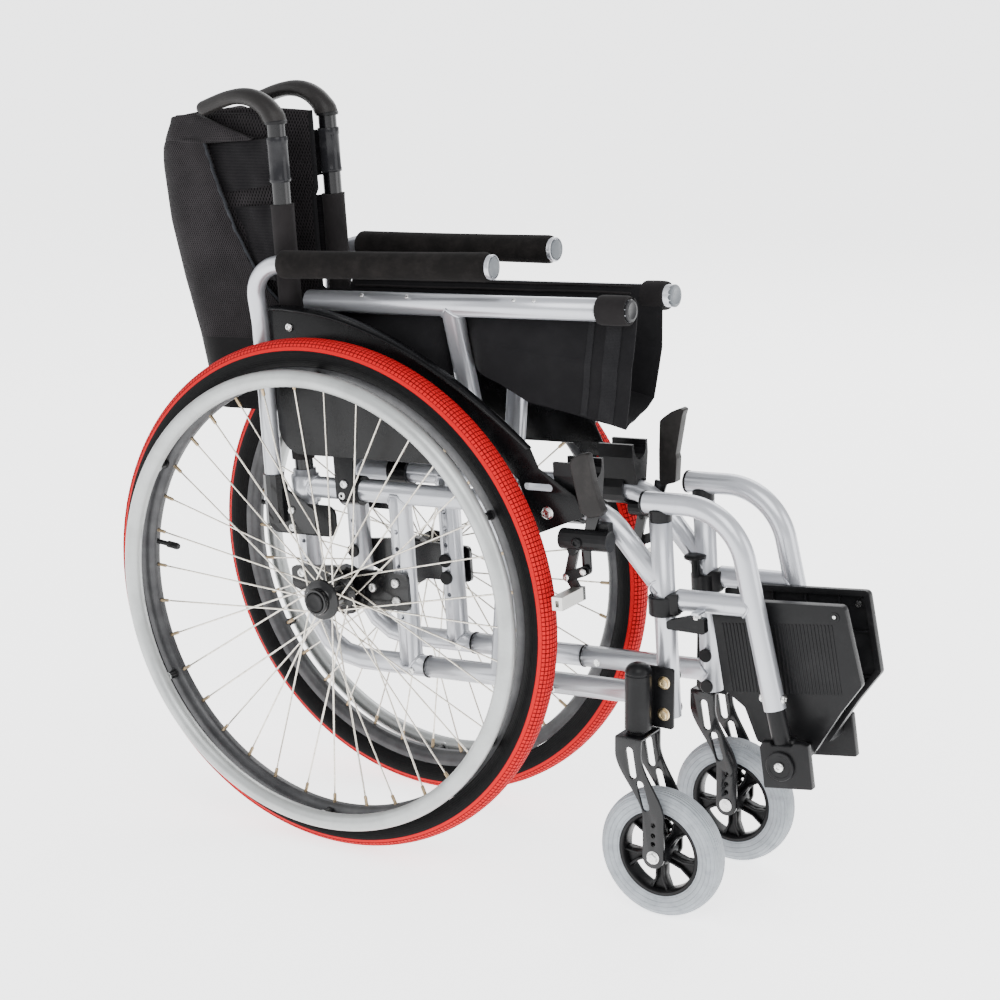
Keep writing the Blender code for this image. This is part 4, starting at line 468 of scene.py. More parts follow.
def spun(loop, centre, steps, direction=(0.0, 1.0, 0.0)):
    """Ring spun about an axis from a closed cross-section of (radius, distance along the axis)."""
    axis = Vector(direction).normalized()
    side = axis.orthogonal().normalized() if axis.y < 0.9 else Vector((1.0, 0.0, 0.0))
    points = [Vector(centre) + side * radius + axis * along for radius, along in [*loop, loop[0]]]
    drawn(points, filled=False)
    bpy.ops.mesh.remove_doubles(threshold=0.000001)
    bpy.ops.mesh.spin(steps=steps, angle=2 * math.pi, center=centre, axis=axis)
    return closed_up()


def mirror_loop(sides):
    """Closed cross-section, the same on both sides of a wheel's middle plane."""
    return [*sides, *[(radius, -y) for radius, y in reversed(sides) if y]]


def swept(path, radius, sides=24, shares=None):
    """Round bar along a path, as a curve with depth made into a mesh."""
    data = bpy.data.curves.new("path", "CURVE")
    data.dimensions = "3D"
    data.bevel_depth = radius
    data.bevel_resolution = (sides - 4) // 2
    data.use_fill_caps = True
    line = data.splines.new("POLY")
    line.points.add(len(path) - 1)
    for k, point in enumerate(path):
        line.points[k].co = (*point, 1.0)
        line.points[k].radius = shares[k] if shares else 1.0
    piece = bpy.data.objects.new("path", data)
    bpy.context.scene.collection.objects.link(piece)
    pick(piece)
    bpy.ops.object.convert(target="MESH")
    edit(bpy.context.object)
    return closed_up()


def sheet_grid(columns, rows, where, wall=0.001, closed=False):
    """Grid moved to where(s, t), with its map in metres; it gets a wall, or closes round as a tube."""
    fresh()
    bpy.ops.mesh.primitive_grid_add(x_subdivisions=columns, y_subdivisions=rows, size=2.0,
                                    location=(0.0, 0.0, 0.0))
    piece = bpy.context.object
    maps = []
    for vertex in piece.data.vertices:
        point, spot = where((vertex.co.x + 1) / 2, (vertex.co.y + 1) / 2)
        vertex.co = point
        maps.append(spot)
    layer = piece.data.uv_layers.active.data
    for corner in piece.data.loops:
        layer[corner.index].uv = maps[corner.vertex_index]
    if closed:
        edit(piece)
        merged()
        bpy.ops.mesh.fill_holes(sides=0)
        return closed_up()
    edit(modified(piece, "SOLIDIFY", thickness=wall, offset=0.0))
    return closed_up()


def modified(piece, kind, **settings):
    """Give a piece a modifier and apply it."""
    step = piece.modifiers.new(kind.lower(), kind)
    for key, value in settings.items():
        setattr(step, key, value)
    pick(piece)
    bpy.ops.object.modifier_apply(modifier=step.name)
    return piece


def eased(piece, width, segments=2, angle=35.0):
    """Round the sharp edges of a piece."""
    return modified(piece, "BEVEL", width=width, segments=segments, limit_method="ANGLE",
                    angle_limit=math.radians(angle))


def carved(piece, *tools):
    """Cut each tool out of the piece."""
    for tool in tools:
        modified(piece, "BOOLEAN", solver="EXACT", object=tool)
        bpy.data.objects.remove(tool)
    return piece


def joined(*pieces):
    pick(*pieces)
    bpy.ops.object.join()
    return bpy.context.object


def mirrored(piece):
    """Turn a piece over to the other side of the chair, faces outwards."""
    settle(piece, Matrix.Scale(-1.0, 4, (0.0, 1.0, 0.0)))
    edit(piece)
    return closed_up()


def copied(piece):
    """Copy with its own mesh."""
    twin = piece.copy()
    twin.data = piece.data.copy()
    bpy.context.scene.collection.objects.link(twin)
    return twin


def settle(piece, space):
    """Put a piece in its place in the scene and its object back at the origin."""
    pick(piece)
    piece.matrix_basis = space @ piece.matrix_basis
    bpy.ops.object.transform_apply(location=True, rotation=True, scale=True)


def dress(piece, name, finish, body, *replaced, space=CHASSIS, angle=35.0):
    """Name a finished piece, give it its finish and tie it to its body."""
    settle(piece, space)
    bpy.ops.object.shade_smooth_by_angle(angle=math.radians(angle))
    piece.name = name
    if finish:
        piece.data.materials.clear()
        piece.data.materials.append(finish)
    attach(piece, body)
    if replaced:
        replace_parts(piece, *replaced)
    return piece


def pair(piece, name, finish, body, *replaced, space=CHASSIS, angle=35.0):
    """Finish a right-hand piece and its mirrored left-hand twin."""
    dress(piece, f"right_{name}", finish, f"right_{body}", *[f"right_{node}" for node in replaced],
          space=space, angle=angle)
    twin = copied(piece)
    if replaced:
        del twin["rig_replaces"]
    dress(mirrored(twin), f"left_{name}", None, f"left_{body}", *[f"left_{node}" for node in replaced],
          space=HERE, angle=angle)
    return piece, twin


def fillet(points, radius, steps=12):
    """Open path with each inner corner rounded by an arc."""
    path = [Vector(points[0])]
    for before, corner, after in zip(points, points[1:], points[2:]):
        corner = Vector(corner)
        back = (Vector(before) - corner).normalized()
        ahead = (Vector(after) - corner).normalized()
        half = back.angle(ahead) / 2
        centre = corner + (back + ahead).normalized() * radius / math.sin(half)
        start = corner + back * radius / math.tan(half) - centre
        end = corner + ahead * radius / math.tan(half) - centre
        sweep = start.angle(end)
        for k in range(steps + 1):
            turn = sweep * k / steps
            path.append(centre + (start * math.sin(sweep - turn) + end * math.sin(turn)) / math.sin(sweep))
    path.append(Vector(points[-1]))
    return path


def rounded(points, radius, steps=5):
    """Closed outline with each corner rounded."""
    outline = []
    for k, corner in enumerate(points):
        around = [(*points[k - 1], 0.0), (*corner, 0.0), (*points[(k + 1) % len(points)], 0.0)]
        outline += [tuple(point[:2]) for point in fillet(around, radius, steps)[1:-1]]
    return outline


def rectangle(x0, z0, x1, z1):
    return [(x0, z0), (x1, z0), (x1, z1), (x0, z1)]


def spread(low, high, steps):
    """Evenly spaced values from low to high."""
    return [low + (high - low) * k / steps for k in range(steps + 1)]


def wrinkle(x, y, z, height):
    """Seeded waves that a cloth lies in."""
    return noise.noise(Vector((x, y, z))) * height


def arc(radius, start, end, steps, centre=(0.0, 0.0)):
    return [(centre[0] + radius * math.cos(a), centre[1] + radius * math.sin(a))
            for a in spread(start, end, steps)]


def slot(start, end, radius, steps=8):
    """Outline of a slot with round ends."""
    angle = math.atan2(end[1] - start[1], end[0] - start[0])
    quarter = math.pi / 2
    far = arc(radius, angle - quarter, angle + quarter, steps, end)
    return far + arc(radius, angle + quarter, angle + 3 * quarter, steps, start)


def level(value, table):
    """Straight-line reading of a table of (value, result) pairs in rising order."""
    if value <= table[0][0]:
        return table[0][1]
    for (low, first), (high, second) in zip(table, table[1:]):
        if value <= high:
            return first + (second - first) * (value - low) / (high - low)
    return table[-1][1]


def weld(centre, post, along, post_r, tube_r, bead=0.0017):
    """Weld bead on the curve where a post meets a round tube."""
    post, along = Vector(post).normalized(), Vector(along).normalized()
    along = (along - post * along.dot(post)).normalized()
    across = post.cross(along)
    path, shares = [], []
    for k in range(41):
        a = 2 * math.pi * k / 40
        side = post_r * math.sin(a)
        rise = math.sqrt(max(tube_r * tube_r - side * side, 0.0))
        path.append(Vector(centre) + along * post_r * math.cos(a) + across * side + post * rise)
        shares.append(1.0 + 0.18 * math.sin(a * 20))
    return swept(path, bead, 8, shares)


# Fasteners

def bolt_model(hex_head):
    """Bolt head of unit radius that points to the chair's right: hexagon with a washer, or a cap screw."""
    if hex_head:
        washer = turned([(0.0, 1.25), (0.18, 1.25), (0.22, 1.18)], (0, 0, 0), RIGHT, 20)
        head = turned([(0.2, 1.0), (0.75, 1.0), (0.86, 0.82), (0.86, 0.45), (0.8, 0.4)], (0, 0, 0), RIGHT, 6)
        return joined(washer, head)
    return turned([(0.0, 1.0), (0.34, 1.0), (0.56, 0.86), (0.66, 0.62), (0.66, 0.46), (0.36, 0.42)],
                  (0, 0, 0), RIGHT, 18)


def bolts(name, finish, body, places, hex_head=False, space=CHASSIS):
    """Copies of one bolt joined as one piece; places list (x, y, z, radius), inward ones negative."""
    model = bolt_model(hex_head)
    made = []
    for x, y, z, radius in places:
        copy = copied(model)
        copy.location = (x, y, z)
        copy.scale = (abs(radius), radius, abs(radius))
        made.append(copy)
    bpy.data.objects.remove(model)
    piece = joined(*made)
    settle(piece, HERE)
    edit(piece)
    return pair(closed_up(), name, finish, body, space=space)


def washers(name, places, radius, height, ease, space=CHASSIS):
    """Plastic washers on the chair's inner faces, joined as one piece."""
    profile = [(0.0, radius), (height - ease, radius), (height, radius - ease)]
    rings = [turned(profile, place, LEFT, 24) for place in places]
    pair(joined(*rings), name, PLASTIC, "frame", space=space)


# Rear wheels

def make_wheels():
    """Tyre with a treaded band, rim, handrim, spokes and hub."""
    half = [(0.3043, 0.0), (0.304, 0.0042), (0.3029, 0.0082), (0.3006, 0.0119), (0.2972, 0.0147),
            (0.2935, 0.0168), (0.289, 0.0175), (0.284, 0.0169), (0.279, 0.0151), (0.2752, 0.0129),
            (0.274, 0.0118)]
    tread_edge = 0.2985
    tyre = spun(mirror_loop(half), HUB, 360)
    for material in (TYRE, TREAD, SHADED_GROOVE):
        tyre.data.materials.append(material)
    # The rings of points beside the middle and at the edge are turned by half a block, so that the
    # blocks of the tread lie in a stagger.
    for row in (1, 3):
        radius, y = half[row]
        for vertex in tyre.data.vertices:
            place = tyre.matrix_world @ vertex.co - HUB
            off = abs(math.hypot(place.x, place.z) - radius)
            vertex.select = abs(abs(place.y) - y) < 0.0002 and off < 0.0003
        edit(tyre)
        bpy.ops.mesh.select_mode(type="VERT")
        bpy.ops.transform.rotate(value=math.pi / 360, orient_axis="Y", center_override=HUB)
        bpy.ops.object.mode_set(mode="OBJECT")
    edit(tyre)
    bpy.ops.mesh.select_mode(type="FACE")
    bpy.ops.mesh.select_all(action="DESELECT")
    bpy.ops.object.mode_set(mode="OBJECT")
    # Faces of the tread band take the darker groove finish, painted shade between the blocks; the inset
    # block tops then take the red tread finish.
    for face in tyre.data.polygons:
        place = tyre.matrix_world @ face.center - HUB
        face.select = math.hypot(place.x, place.z) > tread_edge
        face.material_index = 2 if face.select else 0
    bpy.ops.object.mode_set(mode="EDIT")
    bpy.ops.mesh.inset(use_individual=True, thickness=0.00055, depth=0.0007)
    tyre.active_material_index = 1
    bpy.ops.object.material_slot_assign()
    bpy.ops.mesh.select_mode(type="VERT")
    closed_up()
    pair(tyre, "tyre", None, "wheel", "wheel_tyre", space=GROUND, angle=28.0)
    rim = spun(mirror_loop([(0.2734, 0.0112), (0.269, 0.0112), (0.2668, 0.0108), (0.264, 0.01),
                            (0.2605, 0.008), (0.258, 0.0052), (0.2573, 0.0034), (0.2567, 0.003),
                            (0.2564, 0.0)]), HUB, 180)
    pair(rim, "rim", RIM, "wheel", "wheel_rim", space=GROUND)
    make_handrim()
    make_spokes()
    make_hub()


def make_handrim():
    """Handrim with the six stand-offs that hold it clear of the rim."""
    ring_y = WHEEL_Y - 0.036
    fresh()
    bpy.ops.mesh.primitive_circle_add(vertices=24, radius=0.01, location=(HANDRIM_R, ring_y, HUB.z))
    bpy.ops.object.mode_set(mode="EDIT")
    bpy.ops.mesh.select_all(action="SELECT")
    bpy.ops.mesh.spin(steps=160, angle=2 * math.pi, center=HUB, axis=LEFT)
    grip = closed_up()
    pair(grip, "handrim_ring", HANDRIM, "wheel", "handrim", space=GROUND)
    feet = []
    for k in range(6):
        turn = 2 * math.pi * (k + 0.5) / 6
        outward = Vector((math.cos(turn), 0.0, math.sin(turn)))
        feet.append((Vector((0.0, 0.0, HUB.z)) + outward * HANDRIM_R, outward))
    profile = [(0.0, 0.0058), (0.0016, 0.0058), (0.0022, 0.0048), (0.011, 0.0046), (0.0118, 0.004),
               (0.019, 0.004)]
    tabs = [turned(profile, foot + Vector((0.0, WHEEL_Y - 0.0104, 0.0)), RIGHT, 16) for foot, _ in feet]
    pair(joined(*tabs), "handrim_standoffs", PLASTIC, "wheel", space=GROUND)
    profile = [(-0.0016, 0.0062), (0.0008, 0.0062), (0.0016, 0.005)]
    clips = []
    for foot, outward in feet:
        spot = foot + Vector((0.0, ring_y + 0.01, 0.0)) - outward * 0.0006
        clips.append(turned(profile, spot, LEFT, 16))
    pair(joined(*clips), "handrim_weld_feet", HANDRIM, "wheel", space=GROUND)


def make_spokes():
    """Crossed spokes from both flanges, each with its nipple at the rim."""
    laced, nipple = 0.017, 0.257
    bars, ends = [], []
    for flange_y in (-0.0845, -0.1192):
        outward = math.copysign(1.0, flange_y - WHEEL_Y)
        for k in range(18):
            lean = math.radians(60.0 if k % 2 else -60.0)
            turn = 2 * math.pi * (k + (0.5 if outward < 0 else 0.0)) / 18
            start = Vector((laced * math.cos(turn), flange_y + math.copysign(0.0016, lean),
                            HUB.z + laced * math.sin(turn)))
            end = Vector((nipple * math.cos(turn + lean), WHEEL_Y + outward * 0.0012,
                          HUB.z + nipple * math.sin(turn + lean)))
            ahead = (end - start).normalized()
            bars.append(turned([(0.0, 0.00105), ((end - start).length - 0.006, 0.00105)], start, ahead, 6))
            ends.append(turned([(0.0, 0.0013), (0.0012, 0.0021), (0.0105, 0.0021), (0.0125, 0.0026)],
                               end - ahead * 0.012, ahead, 8))
    pair(joined(*bars), "spokes", SPOKE, "wheel", space=GROUND)
    pair(joined(*ends), "nipples", NIPPLE, "wheel", space=GROUND)


def make_hub():
    """Hub with two flanges, the button of its quick-release axle, and the tyre's valve."""
    loop = [(0.0066, -0.0801), (0.0146, -0.0801), (0.0152, -0.0807), (0.0152, -0.0828), (0.022, -0.083),
            (0.0225, -0.0836), (0.0225, -0.0854), (0.022, -0.086), (0.0165, -0.0884), (0.0152, -0.09),
            (0.0146, -0.096), (0.0146, -0.11), (0.0152, -0.115), (0.017, -0.1168), (0.0234, -0.119),
            (0.0243, -0.1198), (0.0243, -0.1214), (0.0236, -0.1226), (0.02, -0.1238), (0.0164, -0.1248),
            (0.0152, -0.1262), (0.0152, -0.1332), (0.0145, -0.1342), (0.0124, -0.1342), (0.0118, -0.1336),
            (0.0118, -0.1288), (0.0066, -0.1288)]
    hub = spun([(radius, y - WHEEL_Y) for radius, y in loop], HUB, 64)
    pair(hub, "hub", BLACK, "wheel", "wheel_spokes", space=GROUND)
    button = turned([(0.0, 0.011), (0.0026, 0.011), (0.0034, 0.0102), (0.0035, 0.0088), (0.003, 0.0078),
                     (0.003, 0.003)], (0.0, -0.1321, HUB.z), RIGHT, 40)
    pair(button, "axle_cap", PLASTIC, "axle_button", "axle_button", space=GROUND)
    valve = turned([(0.0, 0.003), (0.016, 0.003), (0.018, 0.0042), (0.032, 0.0042), (0.034, 0.0032)],
                   (-0.257, WHEEL_Y, HUB.z + 0.03), (1.0, 0.0, -0.08), 14)
    pair(valve, "valve", PLASTIC, "wheel", space=GROUND)


# Casters

def make_casters():
    """Caster wheel with five hollowed spokes, its fork and its housing."""
    tyre = spun(mirror_loop([(0.074, 0.0), (0.0739, 0.0035), (0.0732, 0.0072), (0.0714, 0.0108),
                             (0.0684, 0.0133), (0.064, 0.0145), (0.0598, 0.0142), (0.056, 0.0133),
                             (0.0522, 0.012), (0.0494, 0.0113)]), CASTER_AXLE, 120)
    pair(tyre, "caster_rubber", CASTER, "caster_wheel", "caster_tyre", space=GROUND)
    rim = spun([(0.0489, 0.0113), (0.0489, -0.0113), (0.0456, -0.0116), (0.0446, -0.0106), (0.043, -0.006),
                (0.0428, 0.006), (0.0446, 0.0106), (0.0456, 0.0116)], CASTER_AXLE, 96)
    barrel = spun([(0.0045, 0.0195), (0.0095, 0.0195), (0.0105, 0.0185), (0.0125, 0.012), (0.0145, 0.008),
                   (0.0145, -0.008), (0.0125, -0.012), (0.0105, -0.0185), (0.0095, -0.0195),
                   (0.0045, -0.0195)], CASTER_AXLE, 40)
    spokes = []
    for k in range(5):
        turn = 2 * math.pi * (k + 0.25) / 5 + math.pi / 5
        web = plate([(0.011, -0.0075), (0.025, -0.0055), (0.036, -0.008), (0.044, -0.015), (0.044, 0.015),
                     (0.036, 0.008), (0.025, 0.0055), (0.011, 0.0075)], -0.0035, 0.0035)
        made = [eased(web, 0.001)]
        for side in (-1.0, 1.0):
            rib = plate([(0.01, side * 0.002), (0.03, side * 0.0026), (0.044, side * 0.0085),
                         (0.044, side * 0.011), (0.029, side * 0.005), (0.01, side * 0.0048)], -0.008, 0.008)
            made.append(eased(rib, 0.0006))
        spoke = joined(*made)
        settle(spoke, Matrix.Translation(CASTER_AXLE) @ Matrix.Rotation(-turn, 4, "Y"))
        spokes.append(spoke)
    pair(joined(rim, barrel, *spokes), "caster_centre", PLASTIC, "caster_wheel", "caster_hub", space=GROUND)
    make_fork()
    make_housing()


def make_fork():
    """Fork of two curved, slotted blades under a folded crown, with its stem and axle."""
    left, right = [], []
    bend_top, bend_low = 0.19, 0.118
    for z in [0.2075, *spread(bend_top, bend_low, 20), CASTER_AXLE.z]:
        share = min(max((bend_top - z) / (bend_top - bend_low), 0.0), 1.0)
        lean = share * share * (3 - 2 * share)
        middle = STEM_X + (CASTER_AXLE.x - STEM_X) * lean
        half = 0.016 - 0.003 * lean
        left.append((middle - half, z))
        right.append((middle + half, z))
    foot = arc(0.013, math.pi, 2 * math.pi, 16, (CASTER_AXLE.x, CASTER_AXLE.z))[1:-1]
    outline = [*left, *foot, *reversed(right)]
    made = []
    for side in (-1.0, 1.0):
        inner, outer = CASTER_Y + side * 0.02, CASTER_Y + side * FORK_HALF
        blade = plate(outline, inner, outer)
        tools = [plate(slot(*ends, 0.0045), inner - side * 0.002, outer + side * 0.002)
                 for ends in (((0.403, 0.193), (0.4075, 0.166)), ((0.4165, 0.156), (0.424, 0.131)))]
        for z in (0.112, 0.1, 0.09):
            place = (CASTER_AXLE.x, min(inner, outer) - 0.002, z)
            tools.append(turned([(0.0, 0.0028), (0.0075, 0.0028)], place, LEFT, 16))
        made.append(eased(carved(blade, *tools), 0.0006, 2, 50.0))
    crown = plate(rectangle(STEM_X - 0.016, 0.2046, STEM_X + 0.016, 0.2085), CASTER_Y - FORK_HALF,
                  CASTER_Y + FORK_HALF)
    made.append(eased(crown, 0.0014, 3))
    made.append(turned([(0.208, 0.012), (0.2105, 0.012), (0.2112, 0.008), (0.262, 0.008)], STEM, UP, 24))
    made.append(turned([(-0.0233, 0.004), (0.0233, 0.004)], CASTER_AXLE, LEFT, 20))
    pair(joined(*made), "fork", BLACK, "caster_fork", "caster_fork", space=GROUND)
    heads = [(CASTER_AXLE.x, CASTER_Y - side * FORK_HALF, CASTER_AXLE.z, side * 0.0062) for side in (1, -1)]
    bolts("fork_bolts", ZINC, "caster_fork", heads, hex_head=True, space=GROUND)


def make_housing():
    """Housing of the caster's stem, bolted to the front tube by its flange."""
    shell = turned([(0.2117, 0.0138), (0.2122, 0.0148), (0.2745, 0.0148), (0.2752, 0.014), (0.2768, 0.014),
                    (0.2774, 0.0149), (0.28, 0.0146), (0.283, 0.0132), (0.2856, 0.0106), (0.2872, 0.007),
                    (0.288, 0.003)], STEM, UP, 48)
    carved(shell, turned([(0.21, 0.0084), (0.2624, 0.0084)], STEM, UP, 24))
    web = plate(rectangle(0.3939, 0.2122, 0.4087, 0.2764), CASTER_Y + 0.01, -0.0636)
    flange = plate(rounded(rectangle(0.396, 0.209, 0.4335, 0.279), 0.003), -0.0681, -0.0635)
    pair(joined(shell, eased(web, 0.0006), eased(flange, 0.0008)), "stem_housing",
         PLASTIC, "frame", "caster_housing", space=GROUND)
    heights = (0.262, 0.2255)
    inner = list(zip((0.4186, 0.421), heights))
    bolts("housing_bolts", BRASS, "frame", [(0.422, -0.0681, z, 0.0062) for z in heights], hex_head=True,
          space=GROUND)
    bolts("housing_nuts", ZINC, "frame", [(x, -0.0378, z, -0.0052) for x, z in inner], space=GROUND)
    washers("housing_washers", [(x, -0.0381, z) for x, z in inner], 0.0078, 0.0028, 0.0006, GROUND)


# Side frames

PAINTED = {"saddle": PLASTIC, "axle_plate": BLACK, "arm_bracket": BLACK, "brake_body": PLASTIC,
           "brake_shoe": SHOE, "brake_link": PLASTIC, "hanger_latch": PLASTIC}


def make_frame():
    """Finishes of the CAD nodes that stay, and the frame's welds, rings, bolts and back posts."""
    for side in ("right", "left"):
        smoothed(f"{side}_side_frame", SILVER)
        for name, finish in PAINTED.items():
            paint(f"{side}_{name}", finish)
    for name in ("brace_a", "brace_b"):
        smoothed(name, SILVER)
    paint("cross_pivot_bolt", ZINC)
    y = -FRAME_Y
    beads = (
        (0.0718, UPPER_Z, (0, 0, -1), AHEAD, 0.0138, TUBE_R),
        (0.0718, LOWER_Z, UP, AHEAD, 0.0138, TUBE_R),
        (POST_X, UPPER_Z, AHEAD, UP, TUBE_R, 0.0168),
        (FRONT_X, LOWER_Z, (-1, 0, 0), UP, TUBE_R, TUBE_R),
        (FRONT_X, 0.031, (-0.64, 0, 0.77), LEFT, TUBE_R, TUBE_R, 0.0014),
    )
    pair(joined(*[weld((x, y, z), *bead) for x, z, *bead in beads]), "frame_welds", SILVER, "frame")
    rings = [spun(rectangle(0.0126, -0.0008, 0.0136, 0.0008), (x, y, LOWER_Z), 32, AHEAD)
             for x in (0.0965, 0.249)]
    pair(joined(*rings), "sleeve_rings", PLASTIC, "frame")
    screws = [(x, y - side * 0.0123, -0.0945, side * 0.0042) for side in (1, -1) for x in (0.079, 0.271)]
    bolts("tube_screws", ZINC, "frame", screws)
    plate_y, inner_y = -0.0696, y + 0.0135
    spots = ((-0.064, 0.014), (0.07, 0.0124), (0.07, -0.009), (0.037, 0.0046))
    bolts("plate_bolts", ZINC, "frame", [(x, plate_y, z, 0.0056) for x, z in spots])
    bolts("plate_nuts", ZINC, "frame", [(x, inner_y + 0.003, z, -0.0052) for x, z in spots[:3]])
    washers("plate_washers", [(x, inner_y, z) for x, z in spots[:3]], 0.0082, 0.0034, 0.0008)
    screws = [(-0.0987, -0.0722, 0.118, 0.0034), (-0.07, -0.0722, 0.0905, 0.005),
              (-0.07, -0.0722, 0.07, 0.005), (0.0035, -0.0683, 0.1125, 0.0048),
              (0.306, -0.068, 0.115, 0.0064)]
    bolts("bracket_bolts", ZINC, "frame", screws)
    cover = plate(rounded([(-0.105, 0.132), (-0.105, 0.061), (-0.008, 0.061), (-0.008, 0.099),
                           (-0.076, 0.099), (-0.076, 0.132)], 0.012, 5), -0.071, -0.0672)
    pair(eased(cover, 0.0008), "bracket_cover", GUARD, "frame")
    post = turned([(0.1372, 0.0109), (0.544, 0.0109), (0.5447, 0.0104)], POST, UP, 32)
    pair(post, "upright", BLACK, "frame", "back_post")
    sleeve = spun([(0.011, 0.4762), (0.0124, 0.476), (0.0129, 0.4768), (0.0129, 0.48), (0.0124, 0.4812),
                   (0.0124, 0.519), (0.0129, 0.5202), (0.0129, 0.527), (0.0124, 0.528), (0.011, 0.5278)],
                  POST, 36, UP)
    pair(sleeve, "height_sleeve", SLEEVE, "frame")


def paint(node, finish):
    """Give a CAD node its finish."""
    slots = nodes[node].data.materials
    for k in range(len(slots)):
        slots[k] = finish


def smoothed(node, finish):
    """The welded tubes of a CAD node as one merged skin, so that they shade round."""
    skin = copied(nodes[node])
    skin.parent = None
    skin.matrix_world = HERE
    for key in list(skin.keys()):
        del skin[key]
    edit(skin)
    bpy.ops.mesh.select_all(action="SELECT")
    bpy.ops.mesh.remove_doubles(threshold=0.00001)
    bpy.ops.object.mode_set(mode="OBJECT")
    body = next(name for name, held in frame["record"]["behaviour"]["bodies"].items() if node in held)
    dress(skin, f"{node}_tubes", finish, body, node, space=HERE, angle=38.0)


# Push grips and armrests

def make_grips():
    """Moulded grip that thins as it curves off the post, with a parting line and a collar."""
    root = Vector((POST_X, -FRAME_Y, 0.5448))
    centres, frames = [root], [(0.0, 0.013, 0.013)]
    steps, full_length = 27, 0.116
    for k in range(steps):
        length = full_length * (k + 1) / steps
        lean = math.radians(17.0) + math.radians(91.0) * math.sin(min(length / 0.105, 1.0) * math.pi / 2)
        centres.append(centres[-1] + Vector((-math.sin(lean), 0.0, math.cos(lean))) * full_length / steps)
        share = min(length / 0.07, 1.0)
        frames.append((lean, 0.0134 - 0.0046 * share, 0.0134 - 0.0016 * share))
    ahead = Vector((-math.sin(frames[-1][0]), 0.0, math.cos(frames[-1][0])))
    for reach, size in ((0.0025, 0.93), (0.0045, 0.78), (0.0056, 0.55), (0.006, 0.25)):
        centres.append(centres[steps] + ahead * reach)
        frames.append((frames[steps][0], 0.0088 * size, 0.0118 * size))
    rows = len(centres) - 1

    def where(s, t):
        k = round(t * rows)
        lean, high, wide = frames[k]
        turn = 2 * math.pi * s
        up, side = math.cos(turn), math.sin(turn)
        seam = round(s * 32) in (11, 21)
        swell = (1.0 if k > 2 else 1.04) - (0.06 if seam and 2 < k < 30 else 0.0)
        point = (centres[k] + Vector((math.cos(lean), 0.0, math.sin(lean))) * high * up * swell
                 + Vector((0.0, wide * side * swell, 0.0)))
        return point, (s * 0.075, t * 0.122)

    grip = sheet_grid(32, rows, where, closed=True)
    pair(grip, "grip", GRIP, "frame", "push_grip", angle=60.0)
    collar = spun([(0.0112, 0.5425), (0.0132, 0.5425), (0.0137, 0.5436), (0.0137, 0.5462), (0.013, 0.547),
                   (0.0112, 0.547)], POST, 32, UP)
    pair(collar, "grip_collar", PLASTIC, "frame")


def make_armrests():
    """Bent arm bar with a foam pad and a capped end."""
    bar = swept(fillet([ARM_FOOT, ARM_FOOT + Vector((0, 0, 0.1805)), ARM_START,
                        ARM_END - ARM_AHEAD * 0.003], 0.042, 14), 0.0105, 24)
    spigot = turned([(-0.03, 0.007), (-0.0292, 0.0075), (0.03, 0.0075)], ARM_FOOT, UP, 20)
    pair(joined(bar, spigot), "arm_bar", SILVER, "armrest", "armrest_tube")
    rear = ARM_START + ARM_AHEAD * (0.043 / ARM_AHEAD.x)
    length = (ARM_END - rear).length - 0.0068
    profile = [(0.0, 0.0117), (0.0002, 0.0145), (0.0018, 0.0158), (0.0045, 0.0163)]
    profile += [(length * k / 12, 0.0163 - 0.0006 * math.sin(math.pi * k / 12)) for k in range(1, 12)]
    profile += [(length - 0.0045, 0.0163), (length - 0.0018, 0.0158), (length - 0.0002, 0.0145),
                (length, 0.0117)]
    pad = turned(profile, rear, ARM_AHEAD, 48)
    for piece in pair(pad, "arm_foam", FOAM, "armrest", "armrest_pad"):
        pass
    end = ARM_END - ARM_AHEAD * 0.0062
    ring = turned([(0.0, 0.0105), (0.0003, 0.0138), (0.0044, 0.014), (0.0052, 0.0136), (0.0054, 0.0126),
                   (0.0036, 0.0124), (0.0036, 0.004)], end, ARM_AHEAD, 40)
    pair(ring, "arm_cap_ring", SILVER, "armrest")
    disc = turned([(0.003, 0.01), (0.005, 0.0114), (0.006, 0.0108), (0.0064, 0.005)], end, ARM_AHEAD, 40)
    pair(disc, "arm_cap_disc", CAP_GREY, "armrest")


# Side guards

